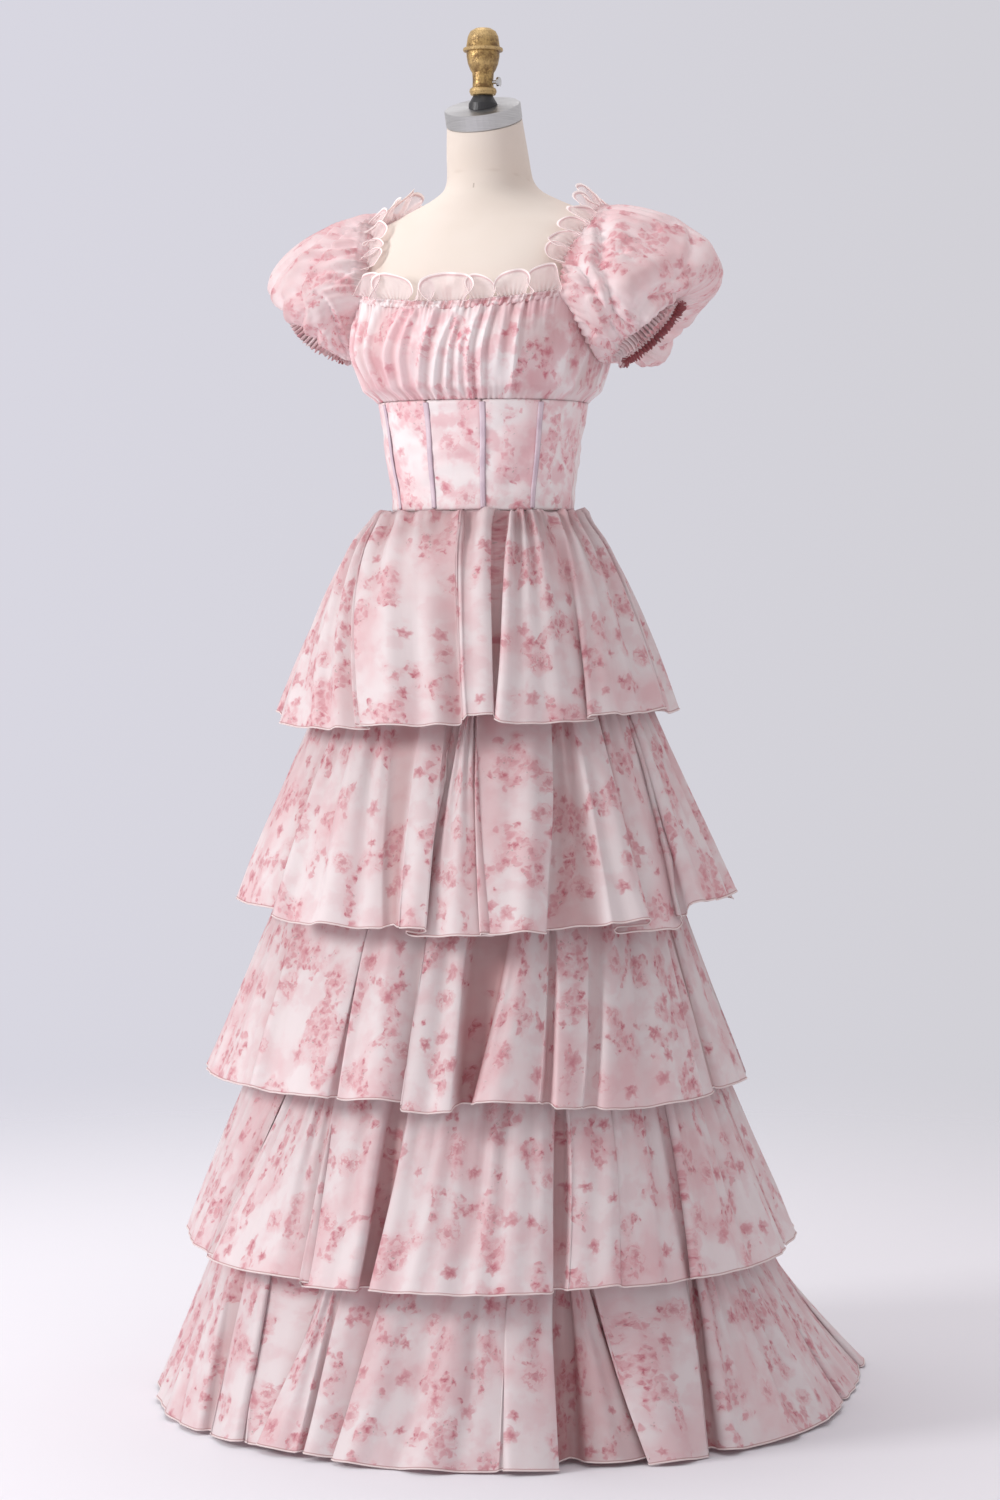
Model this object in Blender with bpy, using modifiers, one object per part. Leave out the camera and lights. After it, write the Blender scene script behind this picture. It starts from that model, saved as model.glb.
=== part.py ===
"""A floor-length prom dress with puff sleeves and five gathered tiers, on a limbless dress form.

Metres, +Z up. The form's pole stands on the origin, the dress faces -Y and the wearer's left is +X.
Angles run round the body in degrees: 0 is centre front, 90 the wearer's left side, 180 centre back.
Cloth is an open surface, lofted through rings or rows, that Solidify turns into a thin wall.
"""

import math
from collections import namedtuple

import bmesh
import bpy
from mathutils import Matrix, Vector

CLOTH = 0.0015  # thickness of a cloth wall
SEAM = 0.0003  # gap between two pieces where they are sewn together
PANEL_SEAM = 0.0009  # the same between curved panels, whose walls lean towards each other inside
FLOOR_CLEAR = 0.0012  # the lowest hem's height over the floor

WAIST_Z = 1.110  # waist seam
UNDERBUST_Z = 1.245  # seam between the corset and the gathered bust
NECKLINE_Z = 1.363  # centre of the front neckline, under its ruffle
NECKLINE_RISE = 0.014  # how much higher its corners are
CORNER = 49.0  # angle of the square neckline's front corners
BACK_CORNER = 132.0  # angle of its back corners
BACK_NECK_Z = 1.400
SIDE_SEAM = 90.0

# A horizontal oval: half-width, reach to the front and to the back of the pole, how far behind the pole it is
# widest, and its squareness, from 2 for an ellipse upwards.
Section = namedtuple("Section", "height width front back middle square")
FORM = (
    Section(0.820, 0.156, 0.104, 0.116, 0.000, 2.0),
    Section(0.860, 0.164, 0.108, 0.122, 0.000, 2.0),
    Section(0.920, 0.168, 0.110, 0.124, 0.000, 2.0),
    Section(1.010, 0.147, 0.100, 0.108, 0.000, 2.0),
    Section(1.110, 0.1125, 0.086, 0.084, 0.000, 2.0),
    Section(1.180, 0.118, 0.094, 0.088, 0.000, 2.3),
    Section(1.245, 0.126, 0.102, 0.093, 0.004, 2.4),
    Section(1.315, 0.142, 0.131, 0.102, 0.010, 2.9),
    Section(1.360, 0.146, 0.123, 0.108, 0.016, 2.9),
    Section(1.400, 0.152, 0.104, 0.112, 0.026, 2.6),
    Section(1.435, 0.161, 0.082, 0.115, 0.040, 2.4),
    Section(1.462, 0.160, 0.062, 0.116, 0.054, 2.2),
    Section(1.484, 0.127, 0.048, 0.113, 0.062, 2.0),
    Section(1.503, 0.082, 0.040, 0.105, 0.056, 2.0),
    Section(1.516, 0.060, 0.034, 0.093, 0.038, 2.0),
    Section(1.530, 0.0535, 0.0315, 0.0830, 0.0250, 2.0),
    Section(1.560, 0.0510, 0.0370, 0.0700, 0.0160, 2.0),
)
# Ease of the bodice over the form: the cloth blouses over the underbust seam.
Ease = namedtuple("Ease", "height ease")
EASE = (
    Ease(1.100, 0.0040),
    Ease(1.180, 0.0040),
    Ease(1.2455, 0.0055),
    Ease(1.262, 0.0170),
    Ease(1.290, 0.0165),
    Ease(1.330, 0.0115),
    Ease(1.374, 0.0060),
    Ease(1.420, 0.0050),
    Ease(1.490, 0.0050),
)
# The plain A-line skirt that carries the tiers.
UNDERSKIRT = (
    Section(0.120, 0.330, 0.290, 0.345, 0.020, 2.0),
    Section(0.265, 0.312, 0.278, 0.310, 0.012, 2.0),
    Section(0.480, 0.266, 0.240, 0.252, 0.004, 2.0),
    Section(0.700, 0.221, 0.186, 0.196, 0.000, 2.0),
    Section(0.925, 0.176, 0.130, 0.137, 0.000, 2.0),
    Section(1.030, 0.150, 0.110, 0.112, 0.000, 2.0),
    Section(1.1096, 0.1160, 0.0900, 0.0880, 0.000, 2.0),
)

# A tier: heights of its seam and of its hem at the back, how much lower the hem is in front, the hem's oval, how
# straight the sides fall (1 is a cone), and how straight the folds run (1 is straight).
Tier = namedtuple("Tier", "top hem dip width front back middle flare swing panels")
# A panel between two folds: the angles of its edges at the hem and at the seam, how deep its edges and the fold
# that follows lie behind the face, and how much lower its hem hangs, in mm. Where a panel's hem_right passes the
# next one's hem_left they lap, and the one whose edge lies less deep is on top.
Panel = namedtuple("Panel", "hem_left hem_right top_left top_right left right fold drop")
TIERS = {
    "tier_1": Tier(1.1096, 0.866, 0.014, 0.249, 0.234, 0.228, 0.000, 0.64, 0.50, (
        Panel(-62.0, -14.0, -100.0, -70.0, 0, 14, 20, 9),
        Panel(-17.6, 8.0, -68.0, -6.5, 0, 0, 28, 2),
        Panel(15.7, 24.0, 5.0, 24.0, 2, 3, 24, -12),
        Panel(25.4, 55.5, 34.0, 53.0, 0, 10, 18, 0),
        Panel(52.8, 92.0, 66.0, 96.0, 0, 3, 22, 5),
        Panel(96.5, 122.0, 100.0, 122.0, 3, 0, 24, 0),
        Panel(127.0, 156.0, 126.0, 148.0, 0, 14, 20, 4),
        Panel(152.0, 184.0, 150.0, 172.0, 0, 0, 26, 0),
        Panel(189.0, 218.0, 176.0, 198.0, 0, 13, 20, -4),
        Panel(214.0, 246.0, 200.0, 222.0, 0, 2, 24, 6),
        Panel(251.0, 276.0, 226.0, 243.0, 0, 11, 18, 0),
        Panel(272.0, 294.0, 245.0, 257.0, 0, 0, 22, -3),
    )),
    "tier_2": Tier(0.925, 0.634, 0.018, 0.312, 0.290, 0.285, 0.000, 0.92, 1.0, (
        Panel(-68.0, -32.0, -75.0, -47.5, 0, 16, 24, -8),
        Panel(-34.5, -7.0, -46.0, -23.0, 0, 2, 36, 3),
        Panel(-0.4, 6.0, -4.3, 4.5, 0, 0, 30, 1),
        Panel(1.0, 20.5, 10.5, 12.5, 18, 12, 24, 11),
        Panel(17.7, 33.0, 15.0, 41.0, 0, 0, 20, 8),
        Panel(48.0, 58.0, 49.0, 57.5, 0, 0, 18, 0),
        Panel(51.5, 69.5, 60.0, 75.0, 16, 2, 10, 14),
        Panel(72.0, 108.0, 77.0, 104.0, 2, 0, 24, -6),
        Panel(112.0, 140.0, 108.0, 135.0, 0, 14, 24, 4),
        Panel(136.0, 168.0, 138.0, 164.0, 0, 0, 30, 0),
        Panel(173.0, 196.0, 169.0, 193.0, 0, 13, 22, 6),
        Panel(192.0, 226.0, 196.0, 224.0, 0, 0, 32, -4),
        Panel(231.0, 262.0, 229.0, 257.0, 2, 14, 24, 4),
        Panel(258.0, 288.0, 260.0, 281.0, 0, 0, 26, 0),
    )),
    "tier_3": Tier(0.700, 0.416, 0.010, 0.338, 0.318, 0.325, 0.004, 1.0, 1.0, (
        Panel(-72.0, -32.0, -76.0, -47.0, 0, 14, 22, -6),
        Panel(-33.6, -12.5, -45.5, -15.0, 0, 0, 22, -8),
        Panel(-10.5, 5.5, -11.8, 1.6, 0, 13, 22, -8),
        Panel(3.9, 14.0, 3.8, 17.3, 0, 0, 38, 2),
        Panel(18.8, 32.5, 31.0, 38.0, 3, 3, 24, -9),
        Panel(35.0, 41.0, 40.0, 51.0, 0, 0, 14, 0),
        Panel(45.0, 80.0, 57.0, 82.0, 0, 6, 22, 5),
        Panel(84.0, 104.0, 87.0, 99.0, 2, 0, 22, 0),
        Panel(100.5, 128.0, 103.0, 126.0, 16, 0, 28, 0),
        Panel(133.0, 160.0, 130.0, 156.0, 0, 13, 22, 4),
        Panel(156.0, 190.0, 159.0, 186.0, 0, 0, 32, 0),
        Panel(195.0, 222.0, 190.0, 219.0, 0, 14, 24, -4),
        Panel(218.0, 250.0, 222.0, 246.0, 0, 0, 28, 4),
        Panel(255.0, 284.0, 250.0, 279.0, 0, 0, 24, 0),
    )),
    "tier_4": Tier(0.480, 0.213, 0.014, 0.382, 0.352, 0.380, 0.014, 1.0, 1.0, (
        Panel(-78.0, -43.5, -64.0, -32.5, 0, 13, 20, -3),
        Panel(-45.5, -14.5, -30.5, -20.0, 0, 14, 20, -2),
        Panel(-16.5, -5.2, -18.4, -3.6, 0, 0, 28, 3),
        Panel(-2.2, 31.0, 2.0, 36.4, 0, 0, 26, 0),
        Panel(33.2, 42.6, 38.6, 50.0, 0, 0, 12, -4),
        Panel(44.0, 62.0, 52.5, 64.5, 4, 12, 18, 0),
        Panel(60.0, 94.0, 67.0, 92.0, 0, 0, 24, 0),
        Panel(98.0, 126.0, 96.0, 122.0, 2, 13, 20, 2),
        Panel(122.0, 156.0, 125.0, 158.0, 0, 0, 28, 0),
        Panel(161.0, 188.0, 163.0, 192.0, 0, 14, 22, 3),
        Panel(184.0, 218.0, 195.0, 226.0, 0, 0, 28, 0),
        Panel(223.0, 250.0, 230.0, 258.0, 0, 13, 22, -3),
        Panel(246.0, 278.0, 265.0, 292.0, 0, 0, 24, 2),
    )),
    "tier_5": Tier(0.265, 0.0, 0.0, 0.436, 0.378, 0.480, 0.050, 1.15, 1.0, (
        Panel(-80.0, -36.0, -72.0, -50.0, 0, 0, 18, -4),
        Panel(-33.5, -25.8, -46.0, -35.0, 0, 0, 16, -5),
        Panel(-23.8, -18.8, -32.0, -17.0, 0, 14, 22, -8),
        Panel(-20.6, -13.2, -14.6, -11.4, 0, 0, 26, -8),
        Panel(-11.2, -4.0, -9.6, -0.8, 2, 18, 24, -7),
        Panel(-6.2, 19.5, 1.0, 23.0, 0, 0, 12, -4),
        Panel(21.5, 29.4, 25.0, 33.6, 0, 0, 52, -4),
        Panel(33.9, 46.5, 36.6, 38.2, 22, 30, 34, -6),
        Panel(43.3, 55.0, 40.0, 66.0, 0, 0, 30, -3),
        Panel(58.5, 99.0, 69.5, 88.0, 0, 0, 26, -5),
        Panel(103.0, 130.0, 91.5, 122.0, 0, 18, 26, -2),
        Panel(126.0, 160.0, 125.0, 156.0, 0, 0, 40, FLOOR_CLEAR * -1000),
        Panel(165.0, 190.0, 160.0, 188.0, 0, 20, 30, -4),
        Panel(186.0, 220.0, 191.0, 222.0, 0, 0, 38, FLOOR_CLEAR * -1000),
        Panel(225.0, 250.0, 226.0, 255.0, 0, 18, 28, -3),
        Panel(246.0, 276.0, 258.0, 284.0, 0, 0, 34, -3),
    )),
}
GATHER_SHARE = 0.07  # share of a fold's depth that is there at the gathered seam
UNDERSKIRT_COLUMNS = 24

# Gathers of the bust panel: angle of each ridge and its height.
Gather = namedtuple("Gather", "angle ridge")
BUST_GATHERS = (
    Gather(-70, 0.0030), Gather(-56, 0.0035), Gather(-43, 0.0040), Gather(-30, 0.0040), Gather(-19, 0.0045),
    Gather(-9, 0.0040), Gather(1, 0.0045), Gather(12, 0.0040), Gather(24, 0.0045), Gather(48, 0.0020),
)
# Waist corset: panel edges, and the boning channels on its seams.
CORSET_PANELS = {
    "corset_back_right": (-177.7, -90.0),
    "corset_side_right": (-90.0, -48.0),
    "corset_front_right": (-48.0, -16.0),
    "corset_centre": (-16.0, 16.0),
    "corset_front_left": (16.0, 48.0),
    "corset_side_left": (48.0, 90.0),
    "corset_back_left": (90.0, 177.7),
}
BONES = {"bone_1": -48.0, "bone_2": -16.0, "bone_3": 16.0, "bone_4": 48.0}
BONE_WIDTH = 0.0095
BONE_THICKNESS = 0.0018

# Sleeve head, from the shoulder (phase 0) round the front, the underarm and the back.
Armhole = namedtuple("Armhole", "phase angle height")
ARMHOLE = (
    Armhole(0, 90, 1.4860), Armhole(30, 60, 1.4660), Armhole(55, 50, 1.4350), Armhole(75, 49, 1.4050),
    Armhole(95, 49, 1.3780), Armhole(120, 57, 1.3520), Armhole(145, 69, 1.3200), Armhole(165, 78, 1.3010),
    Armhole(180, 86, 1.2950), Armhole(195, 96, 1.2960), Armhole(215, 108, 1.3140), Armhole(240, 121, 1.3520),
    Armhole(265, 132, 1.4020), Armhole(285, 131, 1.4280), Armhole(310, 127, 1.4560), Armhole(335, 112, 1.4760),
)
CUFF_CENTRE = Vector((0.214, 0.000, 1.327))
CUFF_OUT = Vector((0.70, 0.0, -0.714)).normalized()  # the way the arm would leave
CUFF_REACH = (0.050, 0.043)  # half-size along the arm's top, and from front to back
CUFF_DEPTH = 0.010
# The puff's handles: where each meridian heads as it leaves the armhole, and as it comes back to the cuff.
Puff = namedtuple("Puff", "phase swell fall")
PUFF = (
    Puff(0, (0.195, 0.060, 1.520), (0.380, 0.055, 1.405)),
    Puff(45, (0.182, -0.050, 1.483), (0.335, -0.060, 1.365)),
    Puff(90, (0.165, -0.130, 1.400), (0.250, -0.115, 1.325)),
    Puff(135, (0.160, -0.095, 1.322), (0.207, -0.080, 1.303)),
    Puff(180, (0.162, 0.000, 1.295), (0.180, 0.000, 1.290)),
    Puff(225, (0.165, 0.105, 1.305), (0.235, 0.105, 1.272)),
    Puff(270, (0.165, 0.170, 1.415), (0.268, 0.160, 1.310)),
    Puff(315, (0.187, 0.155, 1.507), (0.350, 0.155, 1.375)),
)
Pleat = namedtuple("Pleat", "phase ridge")
SLEEVE_PLEATS = (
    Pleat(8, 0.006), Pleat(34, 0.007), Pleat(58, 0.006), Pleat(82, 0.007), Pleat(108, 0.006), Pleat(140, 0.004),
    Pleat(200, 0.004), Pleat(228, 0.006), Pleat(256, 0.007), Pleat(282, 0.006), Pleat(308, 0.007), Pleat(334, 0.006),
)

ZIP_WIDTH = 0.0084
SLIDER_Z = 1.380

RUFFLE_HEIGHT = 0.027
STRAP_RUFFLE_HEIGHT = 0.033
RUFFLE_LEAN = 10.0  # degrees that the front frill leans away from the body
BACK_RUFFLE_LEAN = 24.0
STRAP_LEAN = 13.0  # degrees that the shoulder frills lean in to the neck, at the top of the shoulder
RUFFLE_SWING = 0.0075  # how far the free edge waves to each side
RUFFLE_WAVE = 0.038  # length of one wave along the neckline

NECK_TILT = 22.0  # the neck's flat top leans this far to the front
NECK_TOP = Vector((0.0, 0.005, 1.5975))
CAP_RADIUS = 0.0475
CAP_HEIGHT = 0.0205
FINIAL_Z = 1.6305  # foot of the turned finial
SCREW_Z = FINIAL_Z + 0.0165
SCREW_RADIUS = 0.0024
SCREW_TIP = 0.0045  # how far from the finial's axis the screw's shank starts
POLE_RADIUS = 0.0125
BASE_RADIUS = 0.160
BASE_THICKNESS = 0.012
# Turned finial, from its top down its outer side: radius and height over its foot.
Turned = namedtuple("Turned", "radius height")
FINIAL = (
    Turned(0.0000, 0.0850), Turned(0.0100, 0.0842), Turned(0.0160, 0.0805), Turned(0.0192, 0.0740),
    Turned(0.0205, 0.0650), Turned(0.0212, 0.0610), Turned(0.0245, 0.0595), Turned(0.0252, 0.0575),
    Turned(0.0245, 0.0555), Turned(0.0208, 0.0545), Turned(0.0206, 0.0490), Turned(0.0190, 0.0400),
    Turned(0.0160, 0.0325), Turned(0.0135, 0.0285), Turned(0.0130, 0.0200), Turned(0.0132, 0.0110),
    Turned(0.0165, 0.0085), Turned(0.0172, 0.0050), Turned(0.0155, 0.0010), Turned(0.0120, 0.0000),
    Turned(0.0000, 0.0000),
)

COLOURS = {  # base colour, roughness, metallic
    "printed_organza": ((0.88, 0.70, 0.71), 0.60, 0.0),
    "skirt_lining": ((0.80, 0.58, 0.59), 0.70, 0.0),
    "boning_tape": ((0.72, 0.62, 0.72), 0.45, 0.0),
    "form_linen": ((0.87, 0.81, 0.72), 0.85, 0.0),
    "neck_cap_steel": ((0.55, 0.55, 0.57), 0.28, 1.0),
    "finial_bronze": ((0.48, 0.34, 0.16), 0.45, 0.5),
    "screw_steel": ((0.62, 0.63, 0.66), 0.25, 1.0),
    "stand_enamel": ((0.05, 0.05, 0.055), 0.40, 0.3),
    "zip_nylon": ((0.86, 0.68, 0.70), 0.50, 0.0),
    "zip_metal": ((0.74, 0.66, 0.66), 0.35, 0.8),
}


def clear_scene():
    for old in list(bpy.data.objects):
        bpy.data.objects.remove(old)


def material(slot):
    found = bpy.data.materials.get(slot)
    if found:
        return found
    made = bpy.data.materials.new(slot)
    made.use_nodes = True
    shader = made.node_tree.nodes["Principled BSDF"]
    colour, roughness, metallic = COLOURS[slot]
    shader.inputs["Base Color"].default_value = (*colour, 1)
    shader.inputs["Roughness"].default_value = roughness
    shader.inputs["Metallic"].default_value = metallic
    return made


def add_object(name, mesh, slot, collection):
    made = bpy.data.objects.new(name, mesh)
    mesh.materials.append(material(slot))
    collection.objects.link(made)
    return made


def mix(a, b, share):
    return a + (b - a) * share


def smooth_between(rows, at):
    """Every number of a table's row, at a value of its first column: a smooth curve through the rows."""
    rows = list(rows)
    last = len(rows) - 1
    i = max(0, min(last - 1, sum(row[0] <= at for row in rows) - 1))
    before, low, high, after = rows[max(i - 1, 0)], rows[i], rows[i + 1], rows[min(i + 2, last)]
    span = high[0] - low[0]
    share = min(1.0, max(0.0, (at - low[0]) / span))
    found = []
    for k in range(1, len(low)):
        step = (high[k] - low[k]) / span
        into = (low[k] - before[k]) / (low[0] - before[0]) if i else step
        out_of = (after[k] - high[k]) / (after[0] - high[0]) if i + 1 < last else step
        # A slope that changes sign is a turning point, which stays flat so that the curve can't overshoot.
        start = 0.0 if into * step <= 0 else 2 * into * step / (into + step)
        end = 0.0 if out_of * step <= 0 else 2 * out_of * step / (out_of + step)
        s2, s3 = share**2, share**3
        found.append(
            (2 * s3 - 3 * s2 + 1) * low[k] + (s3 - 2 * s2 + share) * span * start
            + (3 * s2 - 2 * s3) * high[k] + (s3 - s2) * span * end
        )
    return found


def oval(angle, height, width, front, back, middle=0.0, square=2.0):
    """A point of a horizontal oval, whose numbers are a Section's."""
    across, ahead = math.sin(math.radians(angle)), math.cos(math.radians(angle))
    swell = (abs(across) ** square + abs(ahead) ** square) ** (-1 / square)
    reach = front + middle if ahead > 0 else back - middle
    return Vector((width * across * swell, middle - reach * ahead * swell, height))


def form_point(angle, height, out=0.0):
    width, front, back, middle, square = smooth_between(FORM, height)
    return oval(angle, height, width + out, front + out, back + out, middle, square)


def bodice_point(angle, height, out=0.0):
    """A point of the bodice's outer face: the form's own shape with the cloth's ease."""
    (ease,) = smooth_between(EASE, height)
    return form_point(angle, height, ease + out)


def loft(name, rows, closed, slot, collection, thickness=CLOTH):
    """A cloth wall: an open surface through rows of points, thickened inwards."""
    mesh = bpy.data.meshes.new(name)
    build = bmesh.new()
    grid = [[build.verts.new(point) for point in row] for row in rows]
    columns = len(rows[0])
    for upper, lower in zip(grid, grid[1:]):
        for i in range(columns if closed else columns - 1):
            j = (i + 1) % columns
            build.faces.new((upper[i], lower[i], lower[j], upper[j]))
    build.to_mesh(mesh)
    build.free()
    made = add_object(name, mesh, slot, collection)
    wall = made.modifiers.new("wall", "SOLIDIFY")
    wall.thickness = thickness
    wall.offset = -1.0
    return made


def spread(start, end, count):
    return [mix(start, end, i / (count - 1)) for i in range(count)]


# ---- Skirt ----


def panel_ring(panels, turn):
    """(angle, depth, drop) all round a tier, in degrees and metres: the panels' edges, faces and folds.

    turn goes from the seam's angles (0) to the hem's (1), and the depths are the hem's.
    """
    ring = []
    for i, panel in enumerate(panels):
        following = panels[(i + 1) % len(panels)]
        lap_round = 360.0 if i + 1 == len(panels) else 0.0
        left = mix(panel.top_left, panel.hem_left, turn)
        right = mix(panel.top_right, panel.hem_right, turn)
        next_left = mix(following.top_left, following.hem_left, turn) + lap_round
        for share in (0.0, 0.35, 0.65, 1.0) if panel.hem_right - panel.hem_left > 20 else (0.0, 0.5, 1.0):
            depth = panel.left * (1 - share) ** 2 + panel.right * share**2
            ring.append((mix(left, right, share), depth / 1000, panel.drop / 1000))
        turned_under = (panel.right + following.left) / 2
        open_share = min(1.0, max(0.0, (next_left - right) / 3.0))
        depth = mix(turned_under, panel.fold, open_share)
        ring.append(((right + next_left) / 2, depth / 1000, (panel.drop + following.drop) / 2000))
    return ring


def facet(angle):
    """How far out the underskirt's flat facets reach at an angle, as a share of its oval."""
    half = 180.0 / UNDERSKIRT_COLUMNS
    return math.cos(math.radians(half)) / math.cos(math.radians(angle % (2 * half) - half))


def tier_rows(tier, falls):
    *top, top_middle = smooth_between(UNDERSKIRT, tier.top)[:4]
    deepest = max(depth for _, depth, _ in panel_ring(tier.panels, 0))
    start = SEAM + CLOTH + deepest * GATHER_SHARE
    rows = []
    for fall in falls:
        growth = mix(GATHER_SHARE, 1.0, fall**0.8)
        flare = fall**tier.flare
        middle = mix(top_middle, tier.middle, flare)
        row = []
        for angle, depth, drop in panel_ring(tier.panels, fall**tier.swing):
            seam = [near * mix(1, facet(angle), min(1, depth / deepest)) + start for near in top]
            hem = (tier.width, tier.front, tier.back)
            sizes = [mix(near, far, flare) - depth * growth for near, far in zip(seam, hem)]
            dip = tier.dip * (1 + math.cos(math.radians(angle))) / 2
            row.append(oval(angle, mix(tier.top, tier.hem - dip - drop, fall), *sizes, middle))
        rows.append(row)
    return rows


def build_skirt(collection):
    heights = (1.1096, 1.060, 0.925, 0.700, 0.480, 0.265, 0.120)
    angles = spread(0, 360, UNDERSKIRT_COLUMNS + 1)[:-1]
    rings = [[oval(angle, z, *smooth_between(UNDERSKIRT, z)) for angle in angles] for z in heights]
    loft("underskirt", rings, True, "skirt_lining", collection)
    for name, tier in TIERS.items():
        falls = (0.0, 0.10, 0.45, 1.0) if name == "tier_1" else (0.0, 0.42, 1.0)
        loft(name, tier_rows(tier, falls), True, "printed_organza", collection)


# ---- Bodice ----


def gather_height(angle):
    """Height of the bust's gathers at an angle: a ridge at each row of the table and a valley halfway."""
    for near, far in zip(BUST_GATHERS, BUST_GATHERS[1:]):
        if near.angle <= angle <= far.angle:
            share = (angle - near.angle) / (far.angle - near.angle)
            return mix(near.ridge, far.ridge, share) * (math.cos(2 * math.pi * share) + 1) / 2
    return 0.0


CORSET_TOP, CORSET_FOOT, CORSET_ROWS = UNDERBUST_Z - SEAM / 2, WAIST_Z + SEAM, 4


def panel(name, angles, tops, bottom, row_count, slot, collection, lift=None):
    """A bodice panel: columns at the angles, each from its own top down to the bottom seam."""
    rows = []
    for r in range(row_count):
        share = r / (row_count - 1)
        row = []
        for angle, top in zip(angles, tops):
            out = lift(angle) * math.sin(math.pi * share) ** 0.5 if lift else 0.0
            row.append(bodice_point(angle, mix(top, bottom, share), out))
        rows.append(row)
    return loft(name, rows, False, slot, collection)


def neckline_height(angle):
    return NECKLINE_Z + NECKLINE_RISE * (angle / CORNER) ** 2


def armhole_height(angle):
    """Top edge of the bodice between a neckline corner and the underarm, just under the sleeve's seam."""
    rows = [(row.angle, row.height) for row in ARMHOLE if 95 <= row.phase <= 265]
    (height,) = smooth_between(rows, abs(angle))
    return height - 2 * SEAM


def top_edge(angle):
    if abs(angle) <= CORNER:
        return neckline_height(angle)
    if abs(angle) >= BACK_CORNER:
        return BACK_NECK_Z
    return armhole_height(angle)


def build_bodice(collection):
    bust_foot = UNDERBUST_Z + SEAM / 2
    seam_angle = math.degrees(PANEL_SEAM / 2 / 0.12)
    middles = [(a.angle + b.angle) / 2 for a, b in zip(BUST_GATHERS, BUST_GATHERS[1:])]
    side = SIDE_SEAM - seam_angle
    angles = sorted([*(g.angle for g in BUST_GATHERS), *middles, -side, -80, -CORNER, CORNER, 60, 70, 80, side])
    panel("bust_front", angles, [top_edge(a) for a in angles], bust_foot, 5, "printed_organza", collection,
          gather_height)
    for name, way in (("left", 1), ("right", -1)):
        angles = [way * a for a in (SIDE_SEAM + seam_angle, 98, 108, 120, BACK_CORNER, 148, 163, 177.7)]
        angles.sort()
        panel("back_" + name, angles, [top_edge(a) for a in angles], bust_foot, 5, "printed_organza", collection)
    for name, (start, end) in CORSET_PANELS.items():
        count = 6 if abs(end - start) > 60 else 4
        angles = spread(start + seam_angle, end - seam_angle, count)
        panel(name, angles, [CORSET_TOP] * count, CORSET_FOOT, CORSET_ROWS, "printed_organza", collection)


def build_bones(collection):
    """Boning channels: flat tapes stitched over the corset's front seams."""
    for name, angle in BONES.items():
        rows = []
        for height in [CORSET_TOP - 0.004, *spread(CORSET_TOP, CORSET_FOOT, CORSET_ROWS)[1:-1], CORSET_FOOT + 0.004]:
            middle = bodice_point(angle, height, 3 * SEAM + BONE_THICKNESS)
            along = (bodice_point(angle + 1, height) - bodice_point(angle - 1, height)).normalized()
            rows.append([middle - along * BONE_WIDTH / 2, middle + along * BONE_WIDTH / 2])
        loft(name, rows, False, "boning_tape", collection, BONE_THICKNESS)


# ---- Sleeves ----


def bezier(start, first, second, end, share):
    rest = 1 - share
    return (
        start * rest**3 + first * (3 * rest**2 * share) + second * (3 * rest * share**2) + end * share**3
    )


def round_table(rows, phase):
    """A table whose first column is a phase in degrees, read all the way round."""
    wrapped = [(rows[-1][0] - 360, *rows[-1][1:]), *rows, (rows[0][0] + 360, *rows[0][1:])]
    return smooth_between(wrapped, phase)


def armhole_point(phase, out=0.0):
    angle, height = round_table(ARMHOLE, phase)
    return bodice_point(angle, height, out)


def cuff_point(phase, spread_by=0.0, along=0.0):
    up = Vector((-CUFF_OUT.z, 0, CUFF_OUT.x))
    turn = math.radians(phase)
    return (
        CUFF_CENTRE
        + up * (CUFF_REACH[0] + spread_by) * math.cos(turn)
        + Vector((0, -1, 0)) * (CUFF_REACH[1] + spread_by) * math.sin(turn)
        + CUFF_OUT * along
    )


def pleat_height(phase):
    wrapped = [*SLEEVE_PLEATS, Pleat(SLEEVE_PLEATS[0].phase + 360, SLEEVE_PLEATS[0].ridge)]
    at = phase if phase >= SLEEVE_PLEATS[0].phase else phase + 360
    for near, far in zip(wrapped, wrapped[1:]):
        if near.phase <= at <= far.phase:
            share = (at - near.phase) / (far.phase - near.phase)
            return mix(near.ridge, far.ridge, share) * (math.cos(2 * math.pi * share) + 1) / 2
    return 0.0


def sleeve_rows(way):
    """Rows of a puff sleeve from the armhole to the cuff. way is 1 for the wearer's left, -1 for the right."""
    handles = [(puff.phase, *puff.swell, *puff.fall) for puff in PUFF]
    ridges = [pleat.phase for pleat in SLEEVE_PLEATS]
    valleys = [(near + far) / 2 for near, far in zip(ridges, [*ridges[1:], ridges[0] + 360])]
    phases = sorted(phase % 360 for phase in ridges + valleys)
    middle = (CUFF_CENTRE + Vector((0.14, 0.01, 1.38))) / 2
    rows = []
    for share in (0.0, 0.10, 0.28, 0.50, 0.72, 0.90, 1.0):
        row = []
        for phase in phases:
            numbers = round_table(handles, phase)
            start = armhole_point(phase, SEAM)
            end = cuff_point(phase)
            point = bezier(start, Vector(numbers[:3]), Vector(numbers[3:]), end, share)
            away = (point - middle).normalized()
            point = point + away * pleat_height(phase) * math.sin(math.pi * share)
            row.append(Vector((way * point.x, point.y, point.z)))
        rows.append(row if way > 0 else row[::-1])
    return rows


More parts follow.
